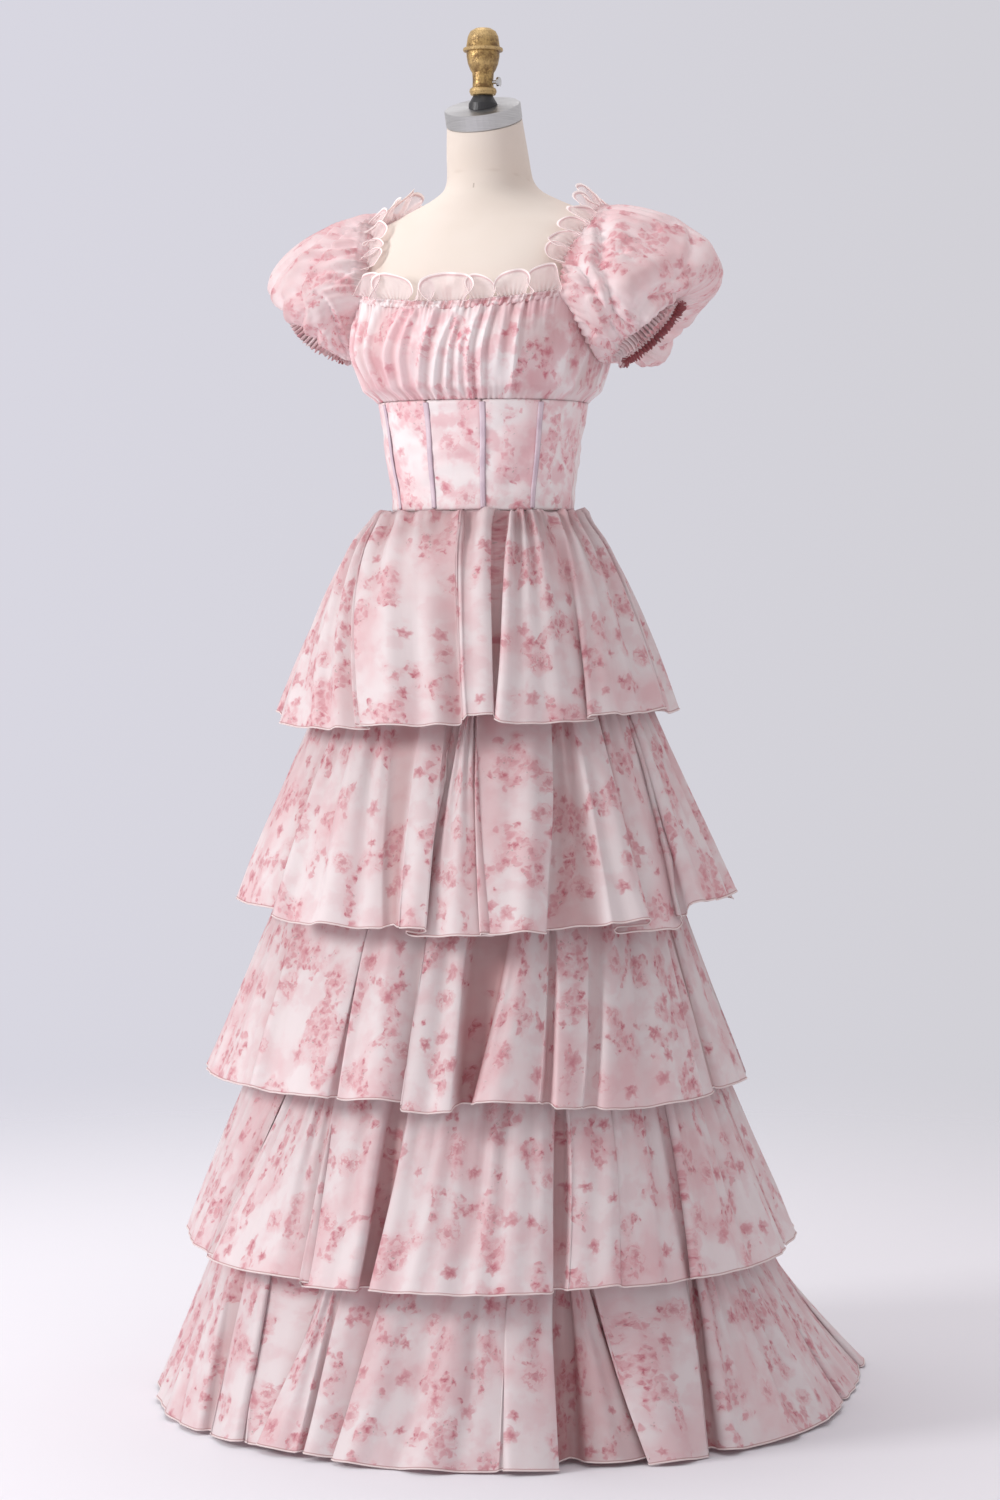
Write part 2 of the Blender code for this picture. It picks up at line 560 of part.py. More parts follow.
def build_sleeves(collection):
    for name, way in (("left", 1), ("right", -1)):
        loft("sleeve_" + name, [row[::-1] for row in sleeve_rows(way)], True, "printed_organza", collection)
        phases = spread(0, 360, 21)[:-1]
        rows = []
        for along, wider in ((0.0027, -0.0010), (CUFF_DEPTH / 2, -0.0020), (CUFF_DEPTH, 0.0020)):
            points = [cuff_point(phase, wider, along) for phase in phases]
            rows.append([Vector((way * p.x, p.y, p.z)) for p in (points[::-1] if way > 0 else points)])
        loft("cuff_" + name, rows, True, "printed_organza", collection)


# ---- Neckline ruffle ----


def ruffle(name, path, tall, lean_at_ends, lean_at_middle, collection):
    """A gathered frill along a path of (angle, height): its sewn edge is straight and its free edge waves."""
    base = [bodice_point(angle, height, 0.0005) for angle, height in path]
    lengths = [0.0]
    for near, far in zip(base, base[1:]):
        lengths.append(lengths[-1] + (far - near).length)
    waves = max(2, round(lengths[-1] / RUFFLE_WAVE))
    count = waves * 4 + 1
    rows = [[], [], []]
    for i in range(count):
        along = lengths[-1] * i / (count - 1)
        k = max(0, min(len(base) - 2, sum(length <= along for length in lengths) - 1))
        share = (along - lengths[k]) / (lengths[k + 1] - lengths[k])
        foot = base[k].lerp(base[k + 1], share)
        angle, height = (mix(a, b, share) for a, b in zip(path[k], path[k + 1]))
        tangent = (base[k + 1] - base[k]).normalized()
        outward = (form_point(angle, height, 0.01) - form_point(angle, height)).normalized()
        outward = (outward - tangent * outward.dot(tangent)).normalized()
        rise = outward.cross(tangent)
        lean = math.radians(mix(lean_at_ends, lean_at_middle, math.sin(math.pi * i / (count - 1)) ** 0.7))
        stand = rise * math.cos(lean) + outward * math.sin(lean)
        swing_way = stand.cross(tangent)
        wave = math.sin(2 * math.pi * waves * i / (count - 1))
        for row, up, swing in zip(rows, (0.0, 0.45, 1.0), (0.0, 0.5, 1.0)):
            row.append(foot + stand * (tall * up + SEAM) + swing_way * RUFFLE_SWING * swing * wave)
    loft(name, rows[::-1], False, "printed_organza", collection)


def build_ruffles(collection):
    front = [(angle, neckline_height(angle) + 0.0006) for angle in spread(-CORNER + 1, CORNER - 1, 15)]
    ruffle("ruffle_front", front, RUFFLE_HEIGHT, RUFFLE_LEAN, RUFFLE_LEAN, collection)
    back = [(angle, BACK_NECK_Z + 0.0003) for angle in spread(BACK_CORNER + 1, 359 - BACK_CORNER, 13)]
    ruffle("ruffle_back", back, RUFFLE_HEIGHT, BACK_RUFFLE_LEAN, BACK_RUFFLE_LEAN, collection)
    shoulder = [row[1:] for row in sorted(ARMHOLE) if row.phase >= 285 or row.phase <= 75]
    back_part = [(angle, height) for angle, height in shoulder if angle > 90]
    front_part = [(angle, height) for angle, height in shoulder if angle <= 90]
    strap = [(angle, height + 0.0014) for angle, height in front_part[::-1] + back_part[::-1]]
    mirrored = [(-angle, height) for angle, height in strap[::-1]]
    for name, path in (("ruffle_left", strap), ("ruffle_right", mirrored)):
        ruffle(name, path, STRAP_RUFFLE_HEIGHT, 0.0, -STRAP_LEAN, collection)


# ---- Dress form and stand ----


def turned(name, profile, slot, collection, steps=24):
    """A solid turned round Z from its outline of (radius, height), both ends on the axis."""
    mesh = bpy.data.meshes.new(name)
    edges = [(i, i + 1) for i in range(len(profile) - 1)]
    mesh.from_pydata([(radius, 0, height) for radius, height in profile], edges, [])
    made = add_object(name, mesh, slot, collection)
    spin = made.modifiers.new("turn", "SCREW")
    spin.steps = spin.render_steps = steps
    spin.use_merge_vertices = True
    spin.merge_threshold = 1e-6
    spin.use_normal_calculate = True
    return made


def box(name, size, slot, collection, bevel=0.0):
    mesh = bpy.data.meshes.new(name)
    build = bmesh.new()
    bmesh.ops.create_cube(build, size=1.0, matrix=Matrix.Diagonal((*size, 1.0)))
    build.to_mesh(mesh)
    build.free()
    made = add_object(name, mesh, slot, collection)
    if bevel:
        edge = made.modifiers.new("rounded_edges", "BEVEL")
        edge.width = bevel
        edge.segments = 2
    return made


def rod(name, radius, length, slot, collection):
    mesh = bpy.data.meshes.new(name)
    build = bmesh.new()
    bmesh.ops.create_cone(build, cap_ends=True, segments=16, radius1=radius, radius2=radius, depth=length)
    build.to_mesh(mesh)
    build.free()
    return add_object(name, mesh, slot, collection)


def extruded(name, outline, width, slot, collection):
    """A solid with the outline of (y, z) points and a width along X."""
    mesh = bpy.data.meshes.new(name)
    build = bmesh.new()
    sides = [[build.verts.new((x, y, z)) for y, z in outline] for x in (-width / 2, width / 2)]
    build.faces.new(sides[0][::-1])
    build.faces.new(sides[1])
    for i in range(len(outline)):
        j = (i + 1) % len(outline)
        build.faces.new((sides[0][i], sides[0][j], sides[1][j], sides[1][i]))
    bmesh.ops.recalc_face_normals(build, faces=build.faces)
    build.to_mesh(mesh)
    build.free()
    return add_object(name, mesh, slot, collection)


def cut(target, cutter, cutters):
    cutter.hide_render = True
    cutter.display_type = "WIRE"
    for old in list(cutter.users_collection):
        old.objects.unlink(cutter)
    cutters.objects.link(cutter)
    bore = target.modifiers.new("cut", "BOOLEAN")
    bore.solver = "EXACT"
    bore.object = cutter


def neck_plane(along=0.0):
    """Placement on the neck's leaning flat top, moved out along its normal."""
    return (
        Matrix.Translation(NECK_TOP)
        @ Matrix.Rotation(math.radians(NECK_TILT), 4, "X")
        @ Matrix.Translation((0, 0, along))
    )


def build_form(collection):
    angles = spread(0, 360, 33)[:-1]
    heights = (0.820, 0.828, 0.860, 0.920, 1.010, 1.110, 1.180, 1.245, 1.280, 1.315, 1.360, 1.400, 1.435, 1.462,
               1.484, 1.503, 1.516, 1.530, 1.560)
    rings = [[form_point(angle, z, -0.006 if z == 0.820 else 0.0) for angle in angles] for z in heights]
    top = neck_plane()
    rings.append([
        top @ Vector((CAP_RADIUS * math.sin(math.radians(a)), -CAP_RADIUS * math.cos(math.radians(a)), 0))
        for a in angles
    ])
    mesh = bpy.data.meshes.new("dress_form")
    build = bmesh.new()
    grid = [[build.verts.new(point) for point in ring] for ring in rings]
    for lower, upper in zip(grid, grid[1:]):
        for i in range(len(angles)):
            j = (i + 1) % len(angles)
            build.faces.new((lower[i], lower[j], upper[j], upper[i]))
    build.faces.new(grid[0][::-1])
    build.faces.new(grid[-1])
    build.to_mesh(mesh)
    build.free()
    return add_object("dress_form", mesh, "form_linen", collection)


def build_neck_fittings(collection, cutters):
    rim = 0.0012
    radius = CAP_RADIUS + 0.0006
    cap = turned("neck_cap", (
        (0.0, 0.0), (radius - rim, 0.0), (radius, rim), (radius, CAP_HEIGHT - rim), (radius - rim, CAP_HEIGHT),
        (0.0, CAP_HEIGHT),
    ), "neck_cap_steel", collection, 40)
    cap.matrix_world = neck_plane(SEAM)
    washer_foot, washer_top = -0.022, -SEAM
    washer = turned("washer", (
        (0.0, washer_foot), (0.0185, washer_foot), (0.0180, -0.010), (0.0125, washer_top), (0.0, washer_top),
    ), "stand_enamel", collection, 32)
    washer.location = (0, 0, FINIAL_Z)
    slab = box("washer_cutter", (0.2, 0.2, 0.1), "stand_enamel", collection)
    slab.matrix_world = neck_plane(CAP_HEIGHT + 2 * SEAM - 0.05)
    cut(washer, slab, cutters)
    finial = turned("finial", FINIAL, "finial_bronze", collection, 32)
    finial.location = (0, 0, FINIAL_Z)
    drill = rod("screw_cutter", SCREW_RADIUS + SEAM, 0.030, "stand_enamel", collection)
    drill.matrix_world = (
        Matrix.Translation((SCREW_TIP - SEAM + 0.015, 0, SCREW_Z)) @ Matrix.Rotation(math.pi / 2, 4, "Y")
    )
    cut(finial, drill, cutters)
    screw = turned("thumbscrew", (
        (0.0, 0.0), (SCREW_RADIUS, 0.0), (SCREW_RADIUS, 0.0140), (0.0060, 0.0145), (0.0063, 0.0152),
        (0.0063, 0.0172), (0.0058, 0.0180), (0.0, 0.0180),
    ), "screw_steel", collection, 16)
    screw.matrix_world = Matrix.Translation((SCREW_TIP, 0, SCREW_Z)) @ Matrix.Rotation(math.pi / 2, 4, "Y")


def build_stand(collection):
    edge = 0.002
    turned("base", (
        (0.0, 0.0), (BASE_RADIUS, 0.0), (BASE_RADIUS, BASE_THICKNESS - edge),
        (BASE_RADIUS - edge, BASE_THICKNESS), (0.0, BASE_THICKNESS),
    ), "stand_enamel", collection, 64)
    foot, head = BASE_THICKNESS + SEAM, FORM[0].height - SEAM
    turned("pole", (
        (0.0, foot), (0.026, foot), (0.026, foot + 0.006), (POLE_RADIUS, foot + 0.012), (POLE_RADIUS, head),
        (0.0, head),
    ), "stand_enamel", collection, 24)


# ---- Centre-back zip ----


def build_zip(collection):
    """A closed invisible zip between the two backs, with its slider at the top and the pull tab hanging."""
    top, foot = BACK_NECK_Z - 0.001, WAIST_Z + SEAM
    half = ZIP_WIDTH / 2
    heights = (top, 1.36, 1.315, 1.28, 1.2625, 1.247, 1.20, 1.15, foot)
    rows = []
    for height in heights:
        middle = bodice_point(180, height)
        rows.append([middle + Vector((half, 0, 0)), middle - Vector((half, 0, 0))])
    loft("zip_tape", rows, False, "zip_nylon", collection)
    seat = bodice_point(180, SLIDER_Z)
    fall = (bodice_point(180, SLIDER_Z + 0.01) - bodice_point(180, SLIDER_Z - 0.01)).normalized()
    lean = math.atan2(-fall.y, fall.z)
    place = Matrix.Translation(seat) @ Matrix.Rotation(lean, 4, "X")
    body = box("zip_slider", (0.0062, 0.0018, 0.0080), "zip_metal", collection, 0.0004)
    body.matrix_world = place @ Matrix.Translation((0, 0.0009 + 2 * SEAM, 0))
    for way in (1, -1):
        ear = box("ear", (0.0009, 0.0034, 0.0026), "zip_metal", collection)
        ear.matrix_world = place @ Matrix.Translation((way * 0.0024, 0.0009 + 2 * SEAM + 0.0023, 0.0024))
        join(body, ear)
    eye, blade = 0.0010, 0.0005
    start = math.asin(blade / eye)
    turns = spread(start, 2 * math.pi - start, 11)
    outline = [(eye * math.sin(turn), -eye * math.cos(turn)) for turn in turns]
    outline += [(-blade, -0.0180), (blade, -0.0180)]
    pull = extruded("zip_pull", outline, 0.0032, "zip_metal", collection)
    pull.matrix_world = place @ Matrix.Translation((0, 0.0009 + 2 * SEAM + 0.0027, 0.0026))


def join(target, other):
    """Union of two solids that overlap: the other one's mesh is kept as a hidden operand."""
    for old in list(other.users_collection):
        old.objects.unlink(other)
    bpy.data.collections["cutters"].objects.link(other)
    other.hide_render = True
    other.display_type = "WIRE"
    union = target.modifiers.new("join", "BOOLEAN")
    union.operation = "UNION"
    union.solver = "EXACT"
    union.object = other


def build():
    clear_scene()
    cutters = bpy.data.collections.new("cutters")
    bpy.context.scene.collection.children.link(cutters)
    dress = bpy.data.collections.new("prom_dress_on_form")
    bpy.context.scene.collection.children.link(dress)
    build_skirt(dress)
    build_bodice(dress)
    build_bones(dress)
    build_sleeves(dress)
    build_ruffles(dress)
    build_zip(dress)
    build_form(dress)
    build_neck_fittings(dress, cutters)
    build_stand(dress)


build()
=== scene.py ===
import math
from collections import namedtuple

import bpy
import numpy as np
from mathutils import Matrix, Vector


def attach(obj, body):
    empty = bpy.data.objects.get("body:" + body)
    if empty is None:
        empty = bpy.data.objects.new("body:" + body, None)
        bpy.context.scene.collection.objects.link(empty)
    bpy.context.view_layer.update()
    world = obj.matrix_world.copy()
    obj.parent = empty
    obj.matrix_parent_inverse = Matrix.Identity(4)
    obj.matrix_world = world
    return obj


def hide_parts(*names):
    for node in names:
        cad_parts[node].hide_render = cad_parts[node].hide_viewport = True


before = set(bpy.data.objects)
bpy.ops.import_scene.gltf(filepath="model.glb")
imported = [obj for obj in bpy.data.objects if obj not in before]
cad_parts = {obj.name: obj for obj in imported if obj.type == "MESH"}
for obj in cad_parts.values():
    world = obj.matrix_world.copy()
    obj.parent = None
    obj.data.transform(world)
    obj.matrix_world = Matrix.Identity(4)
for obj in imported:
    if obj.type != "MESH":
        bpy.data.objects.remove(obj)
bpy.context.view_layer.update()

scene = bpy.context.scene
scene.view_settings.view_transform = "Standard"
dress_body = "dressed_form"


# ---- Studio: camera, floor and lights ----
# A white paper floor that fades into pale grey far behind the dress, one big soft light at the dress's
# right hand and a weak one overhead. None of it is part of the dress.


class Value:
    """An output of a node. A sum on it adds Math nodes beside that node."""

    def __init__(self, nodes, socket):
        self.nodes = nodes
        self.socket = socket

    def math(self, operation, *others):
        return self.nodes.node("ShaderNodeMath", {"operation": operation}, dict(enumerate((self, *others))))

    def __add__(self, other):
        return self.math("ADD", other)

    def __sub__(self, other):
        return self.math("SUBTRACT", other)

    def __mul__(self, other):
        return self.math("MULTIPLY", other)

    def __truediv__(self, other):
        return self.math("DIVIDE", other)

    def __rsub__(self, other):
        return self.nodes.node("ShaderNodeMath", {"operation": "SUBTRACT"}, {0: other, 1: self})

    def __rtruediv__(self, other):
        return self.nodes.node("ShaderNodeMath", {"operation": "DIVIDE"}, {0: other, 1: self})

    __radd__ = __add__
    __rmul__ = __mul__

    def rise(self, low, high):
        """0 where this value is under low, 1 over high, and smooth between; falls if high is under low."""
        ends = {"Value": self, "From Min": low, "From Max": high}
        return self.nodes.node("ShaderNodeMapRange", {"interpolation_type": "SMOOTHSTEP"}, ends)


class Nodes:
    """The nodes of a finish or of the studio's light, added one by one."""

    def __init__(self, tree):
        self.tree = tree

    def node(self, kind, settings=None, inputs=None, output=0):
        """Adds a node with these settings and socket values or links, and gives back one of its outputs."""
        made = self.tree.nodes.new(kind)
        for key, value in (settings or {}).items():
            setattr(made, key, value)
        for key, value in (inputs or {}).items():
            self.feed(made.inputs[key], value)
        return Value(self, made.outputs[output])

    def feed(self, socket, value):
        """Links a socket to a value of these nodes, or sets it."""
        if isinstance(value, Value):
            self.tree.links.new(value.socket, socket)
        elif isinstance(value, tuple) and socket.type == "RGBA":
            socket.default_value = (*value, 1)
        else:
            socket.default_value = value

    def blend(self, factor, under, over, mode="MIX"):
        settings = {"data_type": "RGBA", "blend_type": mode}
        return self.node("ShaderNodeMix", settings, {0: factor, 6: under, 7: over}, 2)


class Finish(Nodes):
    """A material being made, whose nodes feed its Principled shader."""

    def __init__(self, name, **constants):
        self.material = bpy.data.materials.new(name)
        self.material.use_nodes = True
        super().__init__(self.material.node_tree)
        self.shader = self.tree.nodes["Principled BSDF"]
        self.paint(**constants)

    def paint(self, **values):
        """Sets the shader's sockets, such as Base_Color and Normal, or feeds them from nodes."""
        for socket, value in values.items():
            self.feed(self.shader.inputs[socket.replace("_", " ")], value)

    def position(self):
        """Where each point is in the room, in metres."""
        return self.node("ShaderNodeNewGeometry", output="Position")

    def cloth_place(self):
        """Where each point lies on the flat cloth, in metres."""
        return self.node("ShaderNodeUVMap", {"uv_map": "cloth"})

    def mask(self, name):
        """The number that the mesh has at each point under this name."""
        return self.node("ShaderNodeAttribute", {"attribute_name": name}, output="Fac")

    def noise(self, place, scale, detail=2.0, roughness=0.5, output="Fac"):
        """Soft random shapes, about 1 / scale across."""
        sizes = {"Scale": scale, "Detail": detail, "Roughness": roughness}
        return self.node("ShaderNodeTexNoise", None, {"Vector": place, **sizes}, output)

    def bump(self, height, distance, strength=1.0):
        sizes = {"Distance": distance, "Strength": strength}
        return self.node("ShaderNodeBump", None, {"Height": height, **sizes})


CAMERA_DISTANCE = 4.43
CAMERA_HEIGHT = 1.0
CAMERA_TURN = math.radians(20)  # from straight in front towards the dress's left
camera = bpy.data.objects.new("camera", bpy.data.cameras.new("camera"))
scene.collection.objects.link(camera)
scene.camera = camera
camera.data.sensor_fit = "VERTICAL"
camera.data.sensor_height = 36
camera.data.lens = 85
camera.data.shift_x = 0.0113
camera.data.shift_y = -0.1
towards_camera = Vector((math.sin(CAMERA_TURN), -math.cos(CAMERA_TURN), 0))
camera.location = CAMERA_DISTANCE * towards_camera + Vector((0, 0, CAMERA_HEIGHT))
camera.rotation_euler = (math.pi / 2, 0, CAMERA_TURN)

FLOOR_REACH = 30
FLOOR_FADE = (1.0, 3.4)  # the paper fades away between these distances from the dress
floor_mesh = bpy.data.meshes.new("floor")
floor = bpy.data.objects.new("floor", floor_mesh)
scene.collection.objects.link(floor)
floor_corners = [(x, y, 0) for x, y in ((-1, -1), (1, -1), (1, 1), (-1, 1))]
floor_mesh.from_pydata([Vector(corner) * FLOOR_REACH for corner in floor_corners], [], [(0, 1, 2, 3)])
paper = Finish("floor_paper", Roughness=0.9, Emission_Strength=0.10)
place = paper.position()
far_off = paper.node("ShaderNodeVectorMath", {"operation": "LENGTH"}, {0: place}, "Value").rise(*FLOOR_FADE)
# The paper is a little brighter on the key light's side.
lit_side = paper.node("ShaderNodeSeparateXYZ", None, {0: place}).rise(0.5, -1.4)
paper_glow = paper.blend(lit_side, (0, 0, 0), (0.93, 0.92, 1.0))
paper.paint(Base_Color=(0.80, 0.79, 0.84), Emission_Color=paper_glow, Alpha=1 - far_off)
floor_mesh.materials.append(paper.material)

BACKDROP = ((0.690, 0.680, 0.755), (0.645, 0.635, 0.680))  # on the key light's side and on the other
BACKDROP_FADE = 0.14  # it changes from one to the other over this much to each side, as the sine of an angle
ROOM_LIGHT = (0.690, 0.665, 0.675)  # the room's own weak light, darker than the lit backdrop
world = bpy.data.worlds.new("studio")
scene.world = world
world.use_nodes = True
studio = Nodes(world.node_tree)
looking = studio.node("ShaderNodeTexCoord", output="Generated")
ways = {0: looking, 1: (math.cos(CAMERA_TURN), math.sin(CAMERA_TURN), 0)}
to_side = studio.node("ShaderNodeVectorMath", {"operation": "DOT_PRODUCT"}, ways, "Value")
fade_ends = {"From Min": -BACKDROP_FADE, "From Max": BACKDROP_FADE}
fade = studio.node("ShaderNodeMapRange", None, {"Value": to_side, **fade_ends})
backdrop = world.node_tree.nodes["Background"]
studio.feed(backdrop.inputs["Color"], studio.blend(fade, *BACKDROP))
room = studio.node("ShaderNodeBackground", None, {"Color": ROOM_LIGHT})
seen = studio.node("ShaderNodeLightPath", output="Is Camera Ray")
either = studio.node("ShaderNodeMixShader", None, {0: seen, 1: room, 2: Value(studio, backdrop.outputs[0])})
studio.feed(world.node_tree.nodes["World Output"].inputs["Surface"], either)

# Each softbox: where it stands, what it faces, its size, power in watts and colour.
SOFTBOXES = {
    "key": ((-3.1, -2.9, 2.3), (0, 0, 0.9), 1.3, 106, (1.0, 0.985, 0.975)),
    "overhead": ((-0.6, 0.2, 4.4), (0, 0, 0.3), 2.0, 40, (1.0, 0.99, 0.99)),
}
for name, (place, aim, size, power, colour) in SOFTBOXES.items():
    lamp = bpy.data.lights.new(name, "AREA")
    lamp.size = size
    lamp.energy = power
    lamp.color = colour
    softbox = bpy.data.objects.new(name, lamp)
    scene.collection.objects.link(softbox)
    softbox.location = place
    softbox.rotation_euler = (Vector(aim) - Vector(place)).to_track_quat("-Z", "Y").to_euler()


# ---- Stand: base and pole ----
# A round steel plate and a straight steel tube with a flange at each end, powder coated black. Both are
# hidden under the skirt, and stay as the frame gives them.


def refinish(finish, *nodes):
    """Gives a finish to pieces that stay as the frame has them."""
    for node in nodes:
        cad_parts[node].data.materials.clear()
        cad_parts[node].data.materials.append(finish.material)


enamel = Finish("stand_enamel", Metallic=0.3)
position = enamel.position()
orange_peel = enamel.noise(position, 900, 2)
scuffs = enamel.noise(position, 35, 5, 0.7).rise(0.56, 0.72)
enamel.paint(
    Base_Color=enamel.blend(scuffs * 0.5, (0.035, 0.035, 0.038), (0.09, 0.088, 0.085)),
    Roughness=0.38 + scuffs * 0.22,
    Normal=enamel.bump(orange_peel, 0.0002, 0.4),
)
refinish(enamel, "base", "pole")


# ---- Dress form ----
# A limbless torso of pressed fibre under a cream linen cover, sewn from long panels with flat seams down the
# centre front, the princess lines and the sides, and one seam round the foot of the neck.

# A level section: its height, half its width, how far it reaches to the front and to the back, how far behind
# the dress's middle it is widest, and how square it is (2 is an oval).
Section = namedtuple("Section", "height width front back middle square")
FORM = (
    Section(0.820, 0.156, 0.104, 0.116, 0.000, 2.0),
    Section(0.860, 0.164, 0.108, 0.122, 0.000, 2.0),
    Section(0.920, 0.168, 0.110, 0.124, 0.000, 2.0),
    Section(1.010, 0.147, 0.100, 0.108, 0.000, 2.0),
    Section(1.110, 0.1125, 0.086, 0.084, 0.000, 2.0),
    Section(1.180, 0.118, 0.094, 0.088, 0.000, 2.3),
    Section(1.245, 0.126, 0.102, 0.093, 0.004, 2.4),
    Section(1.315, 0.142, 0.131, 0.102, 0.010, 2.9),
    Section(1.360, 0.146, 0.123, 0.108, 0.016, 2.9),
    Section(1.400, 0.152, 0.104, 0.112, 0.026, 2.6),
    Section(1.435, 0.161, 0.082, 0.115, 0.040, 2.4),
    Section(1.462, 0.160, 0.062, 0.116, 0.054, 2.2),
    Section(1.484, 0.127, 0.048, 0.113, 0.062, 2.0),
    Section(1.503, 0.082, 0.040, 0.105, 0.056, 2.0),
    Section(1.516, 0.060, 0.034, 0.093, 0.038, 2.0),
    Section(1.530, 0.0535, 0.0315, 0.0830, 0.0250, 2.0),
    Section(1.560, 0.0510, 0.0370, 0.0700, 0.0160, 2.0),
)
FORM_RADIUS = 0.09  # of the chest, near enough, for distances round it
NECK_TILT = math.radians(22)  # the neck's flat top leans this far to the front
NECK_TOP = np.array((0.0, 0.005, 1.5975))
CAP_RADIUS = 0.0475


def mix(a, b, share):
    return a + (b - a) * share


def bell(value, middle, width):
    """1 where value is at middle, and nearly nothing from two widths away."""
    return np.exp(-(((value - middle) / width) ** 2))


def degrees_past(angle, start):
    """How far an angle is past another, the short way round."""
    return (angle - start + 180) % 360 - 180


def ramp(value, start, run):
    """0 up to start, 1 from a run further on, and straight between."""
    return np.clip((value - start) / run, 0, 1)


def smooth_between(rows, at):
    """Every number of a table's row, at values of its first column: a smooth curve that can't overshoot."""
    rows = np.array(rows, float)
    at = np.asarray(at, float)
    keys, values = rows[:, 0], rows[:, 1:]
    steps = np.diff(values, axis=0) / np.diff(keys)[:, None]
    before, after = steps[:-1], steps[1:]
    same_way = before * after > 0
    bends = np.where(same_way, 2 * before * after / np.where(same_way, before + after, 1), 0)
    slopes = np.vstack((steps[:1], bends, steps[-1:]))
    i = np.clip(np.searchsorted(keys, at, side="right") - 1, 0, len(keys) - 2)
    span = (keys[i + 1] - keys[i])[..., None]
    share = np.clip((at - keys[i])[..., None] / span, 0, 1)
    s2, s3 = share**2, share**3
    return (
        (2 * s3 - 3 * s2 + 1) * values[i] + (s3 - 2 * s2 + share) * span * slopes[i]
        + (3 * s2 - 2 * s3) * values[i + 1] + (s3 - s2) * span * slopes[i + 1]
    )


def oval(angle, height, width, front, back, middle=0.0, square=2.0):
    """Points of a horizontal oval. Angles are in degrees from the centre front, 90 at the wearer's left."""
    across, ahead = np.sin(np.radians(angle)), np.cos(np.radians(angle))
    swell = (np.abs(across) ** square + np.abs(ahead) ** square) ** (-1 / square)
    reach = np.where(ahead > 0, front + middle, back - middle)
    return np.stack(np.broadcast_arrays(width * across * swell, middle - reach * ahead * swell, height), -1)


def form_point(angle, height, out=0.0):
    width, front, back, middle, square = np.moveaxis(smooth_between(FORM, height), -1, 0)
    return oval(angle, height, width + out, front + out, back + out, middle, square)


def grid_mesh(name, points, flat, closed=False, **masks):
    """A mesh through rows of points, each row running the way the angles do and lower than the one before.

    flat is where each point lies on the flat cloth, in metres, with one more column if the rows are closed.
    Each mask is a number at each point, which a finish can read by its name.
    """
    rows, columns = points.shape[:2]
    faces_across = columns if closed else columns - 1
    row, column = np.meshgrid(np.arange(rows - 1), np.arange(faces_across), indexing="ij")
    right = (column + 1) % columns
    corners = [row * columns + column, (row + 1) * columns + column, (row + 1) * columns + right]
    corners = np.stack([*corners, row * columns + right], -1).reshape(-1, 4)
    mesh = bpy.data.meshes.new(name)
    mesh.vertices.add(rows * columns)
    mesh.vertices.foreach_set("co", np.ascontiguousarray(points, np.float32).ravel())
    mesh.loops.add(corners.size)
    mesh.loops.foreach_set("vertex_index", corners.ravel().astype(np.int32))
    mesh.polygons.add(len(corners))
    mesh.polygons.foreach_set("loop_start", np.arange(len(corners), dtype=np.int32) * 4)
    mesh.polygons.foreach_set("use_smooth", np.ones(len(corners), bool))
    places = [flat[row, column], flat[row + 1, column], flat[row + 1, column + 1], flat[row, column + 1]]
    cloth_map = mesh.uv_layers.new(name="cloth")
    cloth_map.data.foreach_set("uv", np.stack(places, 2).astype(np.float32).ravel())
    for mask, values in masks.items():
        painted = mesh.attributes.new(mask, "FLOAT", "POINT")
        painted.data.foreach_set("value", values.astype(np.float32).ravel())
    mesh.update(calc_edges=True)
    mesh.validate()
    return mesh


def unit(vectors):
    """Vectors of the same directions, one metre long."""
    return vectors / np.maximum(np.linalg.norm(vectors, axis=-1, keepdims=True), 1e-9)


def outward(points, closed=False):
    """The way out of the cloth at each point of a grid."""
    if closed:
        along = np.roll(points, -1, 1) - np.roll(points, 1, 1)
    else:
        along = np.gradient(points, axis=1)
    return unit(np.cross(np.gradient(points, axis=0), along))


def lengths_along(points, axis):
    """How far each point is from the start of its row or column, along the cloth."""
    steps = np.linalg.norm(np.diff(points, axis=axis), axis=-1)
    return np.concatenate([np.zeros_like(np.take(steps, [0], axis)), np.cumsum(steps, axis=axis)], axis)


def put(name, mesh, finish, slot, *nodes, thickness=0.0):
    """Adds a piece to the scene. nodes are the frame's pieces that it stands for."""
    made = bpy.data.objects.new(name, mesh)
    scene.collection.objects.link(made)
    mesh.materials.append(finish.material)
    if thickness:
        wall = made.modifiers.new("wall", "SOLIDIFY")
        wall.thickness = thickness
        wall.offset = -1.0
    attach(made, dress_body)
    if nodes:
        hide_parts(*nodes)
    return made


# The cover's seams: a shallow valley along each, with the stitches drawing it in.
FORM_SEAMS = (90.0, 145.0, 180.0, 215.0, 270.0)
SEAM_DEPTH = 0.0004
NECK_SEAM_Z = 1.5235  # half way round; it rises to the front and falls to the back
NECK_SEAM_RISE = 0.012
TICK_Z = 1.5150
SHOWN_FROM_Z = 1.28  # the dress hides the form below this, and its rows lie further apart there
FORM_COLUMNS = 240
form_angles = np.linspace(0, 360, FORM_COLUMNS + 1)[:-1]
hidden_heights = np.linspace(FORM[0].height, SHOWN_FROM_Z, 14)[:-1]
shown_heights = np.linspace(SHOWN_FROM_Z, FORM[-1].height, 66)
form_heights = np.concatenate([hidden_heights, shown_heights])[::-1]
body_rows = form_point(form_angles, form_heights[:, None])
turn = np.radians(form_angles)
level_rim = np.stack((CAP_RADIUS * np.sin(turn), -CAP_RADIUS * np.cos(turn), 0 * turn), -1)
tilt_sin, tilt_cos = math.sin(NECK_TILT), math.cos(NECK_TILT)
